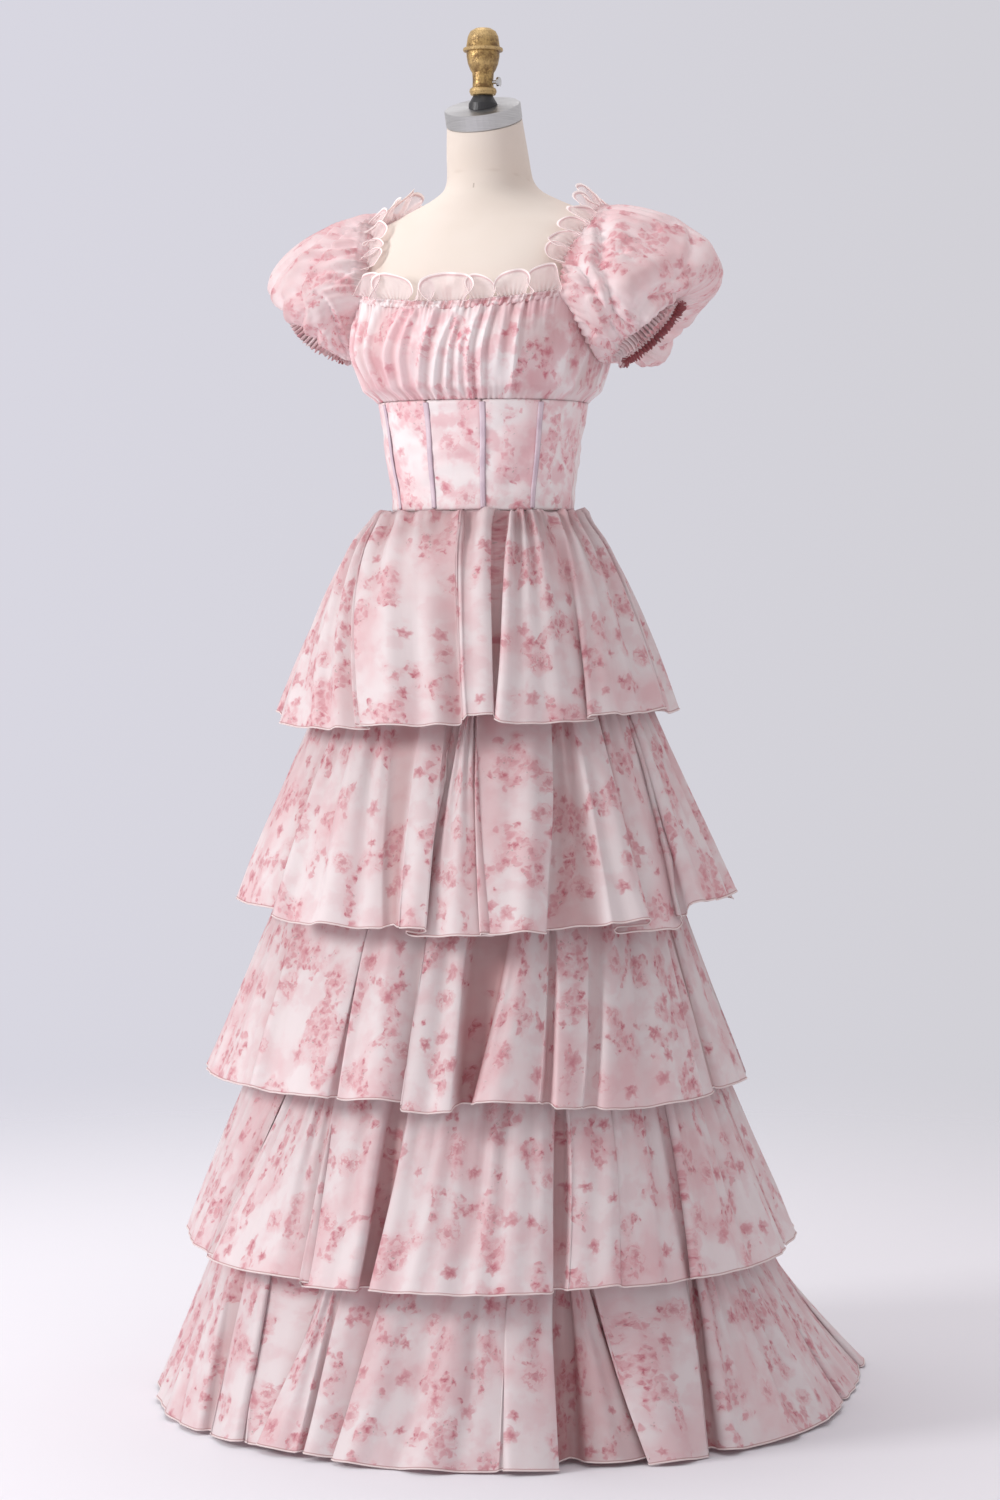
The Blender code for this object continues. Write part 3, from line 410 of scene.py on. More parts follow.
lean = np.array(((1, 0, 0), (0, tilt_cos, -tilt_sin), (0, tilt_sin, tilt_cos)))
neck_rim = NECK_TOP + level_rim @ lean.T
climb = np.linspace(0, 1, 16)[::-1][:-1, None, None]
neck_rows = mix(body_rows[0], neck_rim, climb)
lid_rows = NECK_TOP + (neck_rim - NECK_TOP) * np.array((0.02, 0.5, 0.9, 0.985))[:, None, None]
foot_rows = body_rows[-1] * np.array((0.98, 0.6, 0.02))[:, None, None]
foot_rows[..., 2] = FORM[0].height
form_rows = np.concatenate([lid_rows, neck_rows, body_rows, foot_rows])
form_z = form_rows[..., 2]
seam_angles_off = np.min([np.abs(degrees_past(form_angles, at)) for at in FORM_SEAMS], 0)
seamed = (form_z > FORM[0].height + 0.01) & (form_z < NECK_SEAM_Z)
seam_dip = bell(seam_angles_off * math.radians(FORM_RADIUS), 0, 0.0014) * seamed
neck_dip = bell(form_z - NECK_SEAM_Z, NECK_SEAM_RISE * np.cos(turn), 0.0012)
form_dip = np.maximum(seam_dip, neck_dip)
form_rows = form_rows - outward(form_rows, True) * (form_dip * SEAM_DEPTH)[..., None]
cover_round = np.tile(np.linspace(0, 0.9, FORM_COLUMNS + 1), (len(form_rows), 1))
cover_down = np.tile(lengths_along(form_rows, 0)[:, :1], (1, FORM_COLUMNS + 1))
form_flat = np.stack([cover_round, cover_down], -1)

linen = Finish("form_linen", Roughness=0.88, Sheen_Weight=0.25, Sheen_Roughness=0.6)
place = linen.cloth_place()
threads = {"Vector": place, "Scale": 260, "Distortion": 1.5}
weft = linen.node("ShaderNodeTexWave", {"bands_direction": "X"}, threads)
warp = linen.node("ShaderNodeTexWave", {"bands_direction": "Y"}, threads)
slub = linen.noise(place, 900, 3, 0.6)
weave = weft * 0.4 + warp * 0.4 + slub * 0.6
in_seam = linen.mask("seam")
ageing = linen.noise(linen.position(), 7, 3, 0.6).rise(0.35, 0.7)
linen_colour = linen.blend(ageing, (0.770, 0.685, 0.620), (0.74, 0.650, 0.575))
linen_colour = linen.blend(weave.rise(0.3, 1.1) * 0.16, linen_colour, (0.72, 0.62, 0.53))
linen_colour = linen.blend(in_seam.rise(0.2, 1.0) * 0.22, linen_colour, (0.55, 0.44, 0.36))
# A stitched tick marks the centre front at the foot of the neck.
place = linen.position()
x, y, z = (linen.node("ShaderNodeSeparateXYZ", None, {0: place}, k) for k in range(3))
tick_across = x.math("ABSOLUTE").rise(0.0012, 0.0006)
tick_up = (z - TICK_Z).math("ABSOLUTE").rise(0.0032, 0.0026)
tick = tick_across * tick_up * y.rise(0.0, -0.005)
linen_colour = linen.blend(tick * 0.75, linen_colour, (0.42, 0.34, 0.29))
linen.paint(Base_Color=linen_colour, Normal=linen.bump(weave, 0.0004, 0.35))
form_mesh = grid_mesh("form_cover", form_rows, form_flat, True, seam=form_dip)
put("form_cover", form_mesh, linen, "form_linen", "dress_form")


# ---- Neck cap, washer, finial and thumbscrew ----
# A brushed steel cup closes the neck. A black cone washer seats the turned finial, whose brown lacquer has
# worn through to brass, and a small chromed screw pins the finial. All stay as the frame gives them.

steel = Finish("neck_cap_steel", Metallic=1.0, Anisotropic=0.4)
position = steel.position()
lined = steel.node("ShaderNodeMapping", None, {"Vector": position, "Scale": (25, 25, 2600)})
grain = steel.noise(lined, 1.0, 4, 0.6)
steel.paint(
    Base_Color=steel.blend(grain.rise(0.3, 0.7), (0.50, 0.50, 0.51), (0.66, 0.66, 0.67)),
    Roughness=0.27 + grain * 0.14,
    Normal=steel.bump(grain, 0.0002, 0.25),
)
chrome = Finish("screw_steel", Metallic=1.0)
smears = chrome.noise(chrome.position(), 300, 3)
chrome.paint(
    Base_Color=chrome.blend(smears.rise(0.35, 0.7), (0.66, 0.67, 0.69), (0.55, 0.55, 0.56)),
    Roughness=0.12 + smears * 0.12,
)
bronze = Finish("finial_bronze", Metallic=0.55, Specular_IOR_Level=0.6)
position = bronze.position()
patches = bronze.noise(position, 85, 6, 0.72).rise(0.40, 0.60)
pits = bronze.noise(position, 420, 4, 0.7).rise(0.52, 0.66)
worn = bronze.node("ShaderNodeNewGeometry", output="Pointiness").rise(0.50, 0.56)
bronze_colour = bronze.blend(patches, (0.19, 0.105, 0.035), (0.50, 0.33, 0.125))
bronze_colour = bronze.blend(worn * 0.7, bronze_colour, (0.66, 0.47, 0.22))
bronze_colour = bronze.blend(pits * 0.55, bronze_colour, (0.10, 0.055, 0.022))
bronze.paint(
    Base_Color=bronze_colour,
    Roughness=0.34 + pits * 0.22 + patches * 0.08,
    Normal=bronze.bump(pits + patches * 0.4, 0.0004, 0.5),
)
refinish(steel, "neck_cap")
refinish(enamel, "washer")
refinish(bronze, "finial")
refinish(chrome, "thumbscrew")


# ---- Underskirt ----
# The plain A-line lining that carries the tiers: blush satin, cut in gores, with a turned hem. Each tier is
# gathered on to it along a horizontal seam. Only its inside shows, from below.

UNDERSKIRT = (
    Section(0.120, 0.330, 0.290, 0.345, 0.020, 2.0),
    Section(0.265, 0.312, 0.278, 0.310, 0.012, 2.0),
    Section(0.480, 0.266, 0.240, 0.252, 0.004, 2.0),
    Section(0.700, 0.221, 0.186, 0.196, 0.000, 2.0),
    Section(0.925, 0.176, 0.130, 0.137, 0.000, 2.0),
    Section(1.030, 0.150, 0.110, 0.112, 0.000, 2.0),
    Section(1.1096, 0.1160, 0.0900, 0.0880, 0.000, 2.0),
)
SEAM = 0.0003  # gap between two pieces where they are sewn together
CLOTH = 0.0015  # room that a cloth wall takes; the cloth itself is thinner
LINING_ROWS = 40
LINING_COLUMNS = 120
LINING_SWAY = 0.0016  # how far the hem sways in and out
LINING_INSET = 0.0022
lining_heights = np.linspace(UNDERSKIRT[-1].height, UNDERSKIRT[0].height, LINING_ROWS)
lining_angles = np.linspace(0, 360, LINING_COLUMNS + 1)[:-1]
width, front, back, middle, _ = np.moveaxis(smooth_between(UNDERSKIRT, lining_heights), -1, 0)[:, :, None]
sway = np.sin(np.radians(lining_angles * 11 + 40)) + 0.6 * np.sin(np.radians(lining_angles * 7))
sway = sway[None, :] * LINING_SWAY * np.linspace(0, 1, LINING_ROWS)[:, None] ** 1.5 - LINING_INSET
lining_rows = oval(lining_angles, lining_heights[:, None], width + sway, front + sway, back + sway, middle)
lining_hem = float(lengths_along(np.concatenate([lining_rows, lining_rows[:, :1]], 1), 1)[-1, -1])
lining_drop = lengths_along(lining_rows, 0)[:, 0]
lining_flat = np.stack(np.meshgrid(np.linspace(0, lining_hem, LINING_COLUMNS + 1), lining_drop), -1)
lining = Finish("skirt_lining", Roughness=0.55, Sheen_Weight=0.3)
twill = lining.noise(lining.cloth_place(), 1400, 2)
# Painted shade: soft random patches of the lining are lighter or darker, standing for the light and shade on
# its creases.
crease_shade = lining.noise(lining.position(), 9, 3)
lining.paint(
    Base_Color=lining.blend(crease_shade.rise(0.3, 0.7), (0.80, 0.60, 0.61), (0.86, 0.69, 0.70)),
    Normal=lining.bump(twill, 0.0003, 0.3),
)
lining_mesh = grid_mesh("underskirt_lining", lining_rows, lining_flat, True)
underskirt = put("underskirt_lining", lining_mesh, lining, "skirt_lining", "underskirt", thickness=0.0005)
waist = UNDERSKIRT[-1]
waist_round = math.pi * (waist.width + (waist.front + waist.back) / 2)
lining_length = float(lining_drop[-1])
(lining_hem + waist_round) / 2 * lining_length


# ---- Printed organza ----
# Crisp sheer organza over satin of the same print. Soft watercolour garlands of petals wander over ivory,
# with single star-shaped blossoms, faint round roses and broad pink washes. Hems are rolled to a pale cord.

IVORY = (0.915, 0.842, 0.852)
WASH_PINK = (0.882, 0.652, 0.674)
ROSE_PINK = (0.775, 0.385, 0.430)
DEEP_ROSE = (0.620, 0.170, 0.225)
LEAF_GREY = (0.36, 0.33, 0.31)
PAINTED_SHADE_TINT = (0.56, 0.29, 0.29)  # the painted shade's colour: the rose that shadow and light bounced between pink layers give
HEM_PALE = (0.95, 0.85, 0.84)
HEM_SHADOW_LINE = (0.52, 0.26, 0.27)
# A kind of motif: how far apart they lie, how far a small one reaches from its middle, and how much further a
# big one does.
Motif = namedtuple("Motif", "spacing small more")
PETALS = Motif(0.0118, 0.0032, 0.0032)
ROSES = Motif(0.082, 0.012, 0.007)
STARS = Motif(0.041, 0.0068, 0.0048)
STAMENS = Motif(0.0046, 0.0011, 0.0)


def floral_print(finish, cloth, flush):
    """The print's colour at a place on the flat cloth. flush is how much more pink its washes are."""

    def vector(operation, *values, output=0, **named):
        inputs = {**dict(enumerate(values)), **named}
        return finish.node("ShaderNodeVectorMath", {"operation": operation}, inputs, output)

    def brush(scale, reach):
        """Moves the place by up to reach metres, so that every edge wanders as a brush's does."""
        push = vector("SUBTRACT", finish.noise(cloth, scale, 2, 0.6, "Color"), (0.5, 0.5, 0.5))
        return vector("SCALE", push, Scale=reach)

    def motifs(kind):
        """One motif in each cell of a jittered grid: how far from its middle, its bearing and its luck."""
        cells = {"Vector": brushed, "Scale": 1 / kind.spacing, "Randomness": 0.9}
        middle = finish.node("ShaderNodeTexVoronoi", {"voronoi_dimensions": "2D"}, cells, "Position")
        luck = finish.node("ShaderNodeTexWhiteNoise", {"noise_dimensions": "2D"}, {"Vector": middle}, "Color")
        away = vector("SUBTRACT", brushed, middle)
        across, down = (finish.node("ShaderNodeSeparateXYZ", None, {0: away}, k) for k in range(2))
        chances = [finish.node("ShaderNodeSeparateColor", None, {0: luck}, k) for k in range(3)]
        return vector("LENGTH", away, output="Value"), down.math("ARCTAN2", across), chances

    brushed = vector("ADD", vector("ADD", cloth, brush(60, 0.010)), brush(260, 0.0036))
    mottle = finish.noise(brushed, 130, 3, 0.6)

    # Washes: wide clouds of diluted pink.
    wash = finish.noise(cloth, 9, 3, 0.55).rise(0.44, 0.66)
    colour = finish.blend(wash * (0.70 + 0.3 * flush), IVORY, WASH_PINK)
    pool = finish.noise(brushed, 24, 3, 0.55).rise(0.46, 0.62)
    colour = finish.blend(pool * (0.10 + 0.45 * flush), colour, ROSE_PINK)

    # Garlands: curving trails of petals in a paler wash, that break off and begin again.
    slanted = {"Vector": brushed, "Rotation": (0, 0, 0.7), "Scale": (1, 0.62, 1)}
    slant = finish.node("ShaderNodeMapping", None, slanted)
    trail = (finish.noise(slant, 12, 2, 0.5) - 0.5).math("ABSOLUTE")
    broken = finish.noise(cloth, 19, 2, 0.5).rise(0.44, 0.58)
    colour = finish.blend(trail.rise(0.105, 0.02) * broken * 0.60, colour, WASH_PINK)
    garland = trail.rise(0.085, 0.025) * broken
    colour = finish.blend(garland * mottle.rise(0.40, 0.62) * 0.40, colour, ROSE_PINK)
    reach, bearing, (chance, size, tone) = motifs(PETALS)
    lobed = (bearing * 3 + tone * 12).math("COSINE") * 0.22
    share = reach / (PETALS.small + size * PETALS.more) + lobed + (mottle - 0.5) * 1.3
    petal = share.rise(1.25, 0.70) * (garland * 1.1 - chance).rise(0.0, 0.12)
    colour = finish.blend(petal * (0.20 + mottle * 0.9), colour, ROSE_PINK)
    heart = petal * share.rise(0.95, 0.30) * mottle.rise(0.38, 0.60) * tone.rise(0.2, 0.9)
    colour = finish.blend(heart * 0.85, colour, DEEP_ROSE)

    # Faint round roses: a mottled disc with petals curling round a darker heart.
    reach, bearing, (chance, size, tone) = motifs(ROSES)
    share = reach / (ROSES.small + size * ROSES.more) + (mottle - 0.5) * 1.0
    disc = share.rise(1.1, 0.7) * chance.rise(0.34, 0.36)
    curl = (share * 7 + (bearing + mottle * 5) * 2 + size * 20).math("SINE").rise(-0.3, 0.9)
    colour = finish.blend(disc * 0.65, colour, WASH_PINK)
    colour = finish.blend(disc * curl * mottle.rise(0.34, 0.56) * (0.45 + tone * 0.4), colour, ROSE_PINK)
    colour = finish.blend(disc * share.rise(0.42, 0.10) * 0.5, colour, DEEP_ROSE)

    # Star-shaped blossoms, the darkest of the print.
    reach, bearing, (chance, size, tone) = motifs(STARS)
    five = (bearing * 5 + tone * 12).math("COSINE") + (bearing * 2 + size * 9).math("COSINE") * 0.5
    share = reach / ((STARS.small + size * STARS.more) * (0.84 + five * 0.15)) + (mottle - 0.5) * 1.9
    star = share.rise(1.25, 0.60) * chance.rise(0.62, 0.64)
    colour = finish.blend(star * (0.28 + mottle * 0.8), colour, ROSE_PINK)
    heart = star * share.rise(0.95, 0.30) * mottle.rise(0.36, 0.56)
    colour = finish.blend(heart * (0.3 + tone * 0.5), colour, DEEP_ROSE)

    # Stamens: fine grey-green specks beside the petals.
    reach, _, (chance, _, _) = motifs(STAMENS)
    speck = (reach / STAMENS.small).rise(1.2, 0.5) * chance.rise(0.80, 0.82) * trail.rise(0.09, 0.04) * broken
    return finish.blend(speck * 0.5, colour, LEAF_GREY)


def printed_cloth(name, sheer, weave_size=0.00045, ink=1.0, flush=0.0):
    """Cloth printed with the flowers. sheer is the share of the light that comes through it."""
    finish = Finish(name, Sheen_Weight=0.25, Sheen_Roughness=0.35, Sheen_Tint=(1.0, 0.95, 0.96))
    cloth = finish.cloth_place()
    colour = finish.blend(ink, IVORY, floral_print(finish, cloth, flush))
    # Painted shade: the colour is darkened towards rose deep in folds, in shadows and in troughs, as the
    # mesh's mask gives.
    colour = finish.blend(finish.mask("layered"), colour, PAINTED_SHADE_TINT, "MULTIPLY")
    hem = finish.mask("hem")
    # The rolled hem: a painted shadow line along the cord, then the cord's own pale colour.
    colour = finish.blend(hem.rise(0.10, 0.45) * 0.7, colour, HEM_SHADOW_LINE)
    colour = finish.blend(hem.rise(0.62, 0.92), colour, HEM_PALE)
    threads = finish.noise(cloth, 1 / weave_size, 2, 0.6)
    crumpled = finish.noise(cloth, 24, 4, 0.55)
    finish.paint(
        Base_Color=colour,
        Roughness=0.48 + threads * 0.14,
        Normal=finish.bump(threads * 0.10 + crumpled, 0.0020, 0.25),
    )
    face = Value(finish, finish.shader.outputs[0])
    glow = finish.node("ShaderNodeBsdfTranslucent", None, {"Color": colour})
    both = finish.node("ShaderNodeMixShader", None, {0: sheer, 1: face, 2: glow})
    finish.feed(finish.tree.nodes["Material Output"].inputs["Surface"], both)
    return finish


ORGANZA_WALL = 0.0006  # thickness of the organza and its satin together
organza = printed_cloth("printed_organza", 0.34, flush=0.20)


# ---- Tiers ----
# Five flounces of organza, each cut as a slightly flared strip, gathered into its seam and finished with a
# narrow rolled hem. They stand out in broad panels, between folds that are turned under or left open.

# A tier: heights of its seam and of its hem at the back, how much lower the hem is in front, the hem's oval,
# how straight the sides fall (1 is a cone), and how straight the folds run (1 is straight).
Tier = namedtuple("Tier", "top hem dip width front back middle flare swing panels")
# A panel between two folds: the angles of its edges at the hem and at the seam, how deep its edges and the
# fold that follows lie behind the face, and how much lower its hem hangs, in mm. Where a panel's hem_right
# passes the next one's hem_left they lap, and the one whose edge lies less deep is on top.
Panel = namedtuple("Panel", "hem_left hem_right top_left top_right left right fold drop")
TIERS = {
    "tier_1": Tier(1.1096, 0.866, 0.014, 0.249, 0.234, 0.228, 0.000, 0.64, 0.50, (
        Panel(-62.0, -14.0, -100.0, -70.0, 0, 14, 20, 9),
        Panel(-17.6, 14.6, -68.0, 3.5, 0, 15, 18, 2),
        Panel(15.7, 24.0, 5.0, 24.0, 2, 3, 24, -12),
        Panel(25.4, 55.5, 34.0, 53.0, 0, 10, 18, 0),
        Panel(52.8, 92.0, 66.0, 96.0, 0, 3, 22, -7),
        Panel(96.5, 122.0, 100.0, 122.0, 3, 0, 24, 0),
        Panel(127.0, 156.0, 126.0, 148.0, 0, 14, 20, 4),
        Panel(152.0, 184.0, 150.0, 172.0, 0, 0, 26, 0),
        Panel(189.0, 218.0, 176.0, 198.0, 0, 13, 20, -4),
        Panel(214.0, 246.0, 200.0, 222.0, 0, 2, 24, 6),
        Panel(251.0, 276.0, 226.0, 243.0, 0, 11, 18, 0),
        Panel(272.0, 294.0, 245.0, 257.0, 0, 0, 22, -3),
    )),
    "tier_2": Tier(0.925, 0.634, 0.018, 0.312, 0.290, 0.285, 0.000, 0.92, 1.0, (
        Panel(-68.0, -32.0, -75.0, -47.5, 0, 16, 24, -8),
        Panel(-34.5, -4.6, -46.0, -20.0, 0, 8, 24, 3),
        Panel(-0.4, 6.0, -4.3, 4.5, 0, 0, 30, 1),
        Panel(1.0, 20.5, 10.5, 12.5, 18, 12, 24, 11),
        Panel(17.7, 33.0, 15.0, 41.0, 0, 0, 20, 8),
        Panel(48.0, 58.0, 49.0, 57.5, 0, 0, 18, 0),
        Panel(51.5, 69.5, 60.0, 75.0, 16, 2, 10, 14),
        Panel(72.0, 108.0, 77.0, 104.0, 2, 0, 24, -12),
        Panel(112.0, 140.0, 108.0, 135.0, 0, 14, 24, 4),
        Panel(136.0, 168.0, 138.0, 164.0, 0, 0, 30, 0),
        Panel(173.0, 196.0, 169.0, 193.0, 0, 13, 22, 6),
        Panel(192.0, 226.0, 196.0, 224.0, 0, 0, 32, -4),
        Panel(231.0, 262.0, 229.0, 257.0, 2, 14, 24, 4),
        Panel(258.0, 288.0, 260.0, 281.0, 0, 0, 26, 0),
    )),
    "tier_3": Tier(0.700, 0.416, 0.010, 0.338, 0.318, 0.325, 0.004, 1.0, 1.0, (
        Panel(-72.0, -32.0, -76.0, -47.0, 0, 14, 22, -6),
        Panel(-33.6, -12.5, -45.5, -15.0, 0, 0, 22, -8),
        Panel(-10.5, 5.5, -11.8, 1.6, 0, 13, 22, -8),
        Panel(3.9, 14.0, 3.8, 17.3, 0, 0, 38, 2),
        Panel(18.8, 32.5, 31.0, 38.0, 3, 3, 24, -9),
        Panel(35.0, 41.0, 40.0, 51.0, 0, 0, 14, 0),
        Panel(45.0, 80.0, 57.0, 82.0, 0, 6, 22, 5),
        Panel(84.0, 104.0, 87.0, 99.0, 2, 0, 22, 0),
        Panel(100.5, 128.0, 103.0, 126.0, 16, 0, 28, 0),
        Panel(133.0, 160.0, 130.0, 156.0, 0, 13, 22, 4),
        Panel(156.0, 190.0, 159.0, 186.0, 0, 0, 32, 0),
        Panel(195.0, 222.0, 190.0, 219.0, 0, 14, 24, -4),
        Panel(218.0, 250.0, 222.0, 246.0, 0, 0, 28, 4),
        Panel(255.0, 284.0, 250.0, 279.0, 0, 0, 24, 0),
    )),
    "tier_4": Tier(0.480, 0.213, 0.014, 0.382, 0.352, 0.380, 0.014, 1.0, 1.0, (
        Panel(-78.0, -43.5, -64.0, -32.5, 0, 13, 20, -3),
        Panel(-45.5, -14.5, -30.5, -20.0, 0, 14, 20, -2),
        Panel(-16.5, -5.2, -18.4, -3.6, 0, 0, 28, 3),
        Panel(-2.2, 31.0, 2.0, 36.4, 0, 0, 26, 0),
        Panel(33.2, 42.6, 38.6, 50.0, 0, 0, 12, -4),
        Panel(44.0, 62.0, 52.5, 64.5, 4, 12, 18, 0),
        Panel(60.0, 94.0, 67.0, 92.0, 0, 0, 24, 0),
        Panel(98.0, 126.0, 96.0, 122.0, 2, 13, 20, 2),
        Panel(122.0, 156.0, 125.0, 158.0, 0, 0, 28, 0),
        Panel(161.0, 188.0, 163.0, 192.0, 0, 14, 22, 3),
        Panel(184.0, 218.0, 195.0, 226.0, 0, 0, 28, 0),
        Panel(223.0, 250.0, 230.0, 258.0, 0, 13, 22, -3),
        Panel(246.0, 278.0, 265.0, 292.0, 0, 0, 24, 2),
    )),
    "tier_5": Tier(0.265, 0.0, 0.0, 0.436, 0.378, 0.480, 0.050, 1.15, 1.0, (
        Panel(-80.0, -36.0, -72.0, -50.0, 0, 0, 18, -4),
        Panel(-33.5, -25.8, -46.0, -35.0, 0, 0, 16, -5),
        Panel(-23.8, -18.8, -32.0, -17.0, 0, 14, 22, -8),
        Panel(-20.6, -13.2, -14.6, -11.4, 0, 0, 26, -8),
        Panel(-11.2, -4.0, -9.6, -0.8, 2, 18, 24, -7),
        Panel(-6.2, 19.5, 1.0, 23.0, 0, 0, 12, -4),
        Panel(21.5, 29.4, 25.0, 33.6, 0, 0, 52, -4),
        Panel(33.9, 46.5, 36.6, 38.2, 22, 30, 34, -6),
        Panel(43.3, 55.0, 40.0, 66.0, 0, 0, 30, -3),
        Panel(58.5, 99.0, 69.5, 88.0, 0, 0, 26, -5),
        Panel(103.0, 130.0, 91.5, 122.0, 0, 18, 26, -2),
        Panel(126.0, 160.0, 125.0, 156.0, 0, 0, 40, -1.2),
        Panel(165.0, 190.0, 160.0, 188.0, 0, 20, 30, -4),
        Panel(186.0, 220.0, 191.0, 222.0, 0, 0, 38, -1.2),
        Panel(225.0, 250.0, 226.0, 255.0, 0, 18, 28, -3),
        Panel(246.0, 276.0, 258.0, 284.0, 0, 0, 34, -3),
    )),
}
GATHER_SHARE = 0.07  # share of a fold's depth that is there at the gathered seam
EDGE_BEND = 1.1  # how far a panel's edge bends on its way down, in degrees
PANEL_STOPS = (0.0, 0.04, 0.18, 0.38, 0.62, 0.82, 0.96, 1.0)  # shares of a panel's width with a control point


def ring_controls(panels, turn):
    """Control points of a tier's ring: their angles, depths and hem drops, in degrees and metres.

    turn goes from the seam's angles (0) to the hem's (1). Where two panels lap, the cloth runs back under the
    upper one; where they stand apart, it dips into a fold that is wider inside than at its mouth.
    """

    def edge(top, hem):
        """The angle of a panel's edge, which bends a little on its way down."""
        bend = EDGE_BEND * math.sin(0.21 * hem + 0.5 * top) * math.sin(math.pi * turn)
        return mix(top, hem, turn) + bend + 0.35 * bend * math.cos(math.pi * turn)

    controls = []
    for i, panel in enumerate(panels):
        following = panels[(i + 1) % len(panels)]
        lap_round = 360.0 if i + 1 == len(panels) else 0.0
        left = edge(panel.top_left, panel.hem_left)
        right = edge(panel.top_right, panel.hem_right)
        next_left = edge(following.top_left, following.hem_left) + lap_round
        crown = -min(4.0, (panel.hem_right - panel.hem_left) * 0.16)
        for share in PANEL_STOPS:
            depth = panel.left * (1 - share) ** 2 + panel.right * share**2 + crown * math.sin(math.pi * share)
            controls.append((mix(left, right, share), depth, panel.drop))
        gap = next_left - right
        middle = (right + next_left) / 2
        halfway = (panel.right + following.left) / 2
        over, under = sorted((panel.right, following.left))
        mean_drop = (panel.drop + following.drop) / 2
        # Lapped: the two edges' layers with the run between them half way down.
        round_off = min(0.9, (right - left) * 0.12)
        lapped = (
            (right + round_off, mix(panel.right, halfway, 0.35)),
            (middle - 0.2 * gap, mix(over, under, 0.42)),
            (middle + 0.2 * gap, mix(over, under, 0.58)),
            (next_left - round_off, mix(following.left, halfway, 0.35)),
        )
        # Open: down one side of the fold, along its floor and up the other.
        belly = 0.45 + 0.10 * gap
        opened = (
            (right + 0.35, mix(panel.right, panel.fold, 0.30)),
            (right - belly + 0.30 * gap, panel.fold * 0.98),
            (next_left + belly - 0.30 * gap, panel.fold * 0.98),
            (next_left - 0.35, mix(following.left, panel.fold, 0.30)),
        )
        open_share = min(1.0, max(0.0, gap / 3.0))
        for shut, free in zip(lapped, opened):
            controls.append((mix(shut[0], free[0], open_share), mix(shut[1], free[1], open_share), mean_drop))
    return np.array(controls) * (1, 0.001, 0.001)


def curve_near(controls, stretch, t):
    """Points of a smooth curve near its control points, at share t of each stretch named."""
    weights = ((1 - t) ** 3, 3 * t**3 - 6 * t**2 + 4, -3 * t**3 + 3 * t**2 + 3 * t + 1, t**3)
    return sum(weight / 6 * controls[..., stretch + k, :] for k, weight in enumerate(weights))


def closed_curve(controls, counts):
    """A closed curve near its control points, with so many points to each of its stretches."""
    whole_turn = np.zeros_like(controls[..., :3, :])
    whole_turn[..., 0] = 360
    last, first = controls[..., -1:, :] - whole_turn[..., :1, :], controls[..., :3, :] + whole_turn
    ring = np.concatenate([last, controls, first], -2)
    stretch = np.repeat(np.arange(len(counts)), counts)
    t = np.concatenate([np.arange(count) / count for count in counts])[:, None]
    return curve_near(ring, stretch, t)


def ripples(along, waves, spread_of_waves, seed, terms=11):
    """Uneven waves round a closed strip, about so many of them, one unit high. along goes from 0 to 1."""
    chance = np.random.default_rng(seed)
    numbers = np.round(waves * (1 + spread_of_waves * chance.uniform(-1, 1, terms)))
    phases = chance.uniform(0, 2 * math.pi, terms)
    heights = chance.uniform(0.5, 1.0, terms)
    total = sum(h * np.sin(2 * math.pi * n * along + p) for h, n, p in zip(heights, numbers, phases))
    return total / math.sqrt((heights**2).sum() / 2)


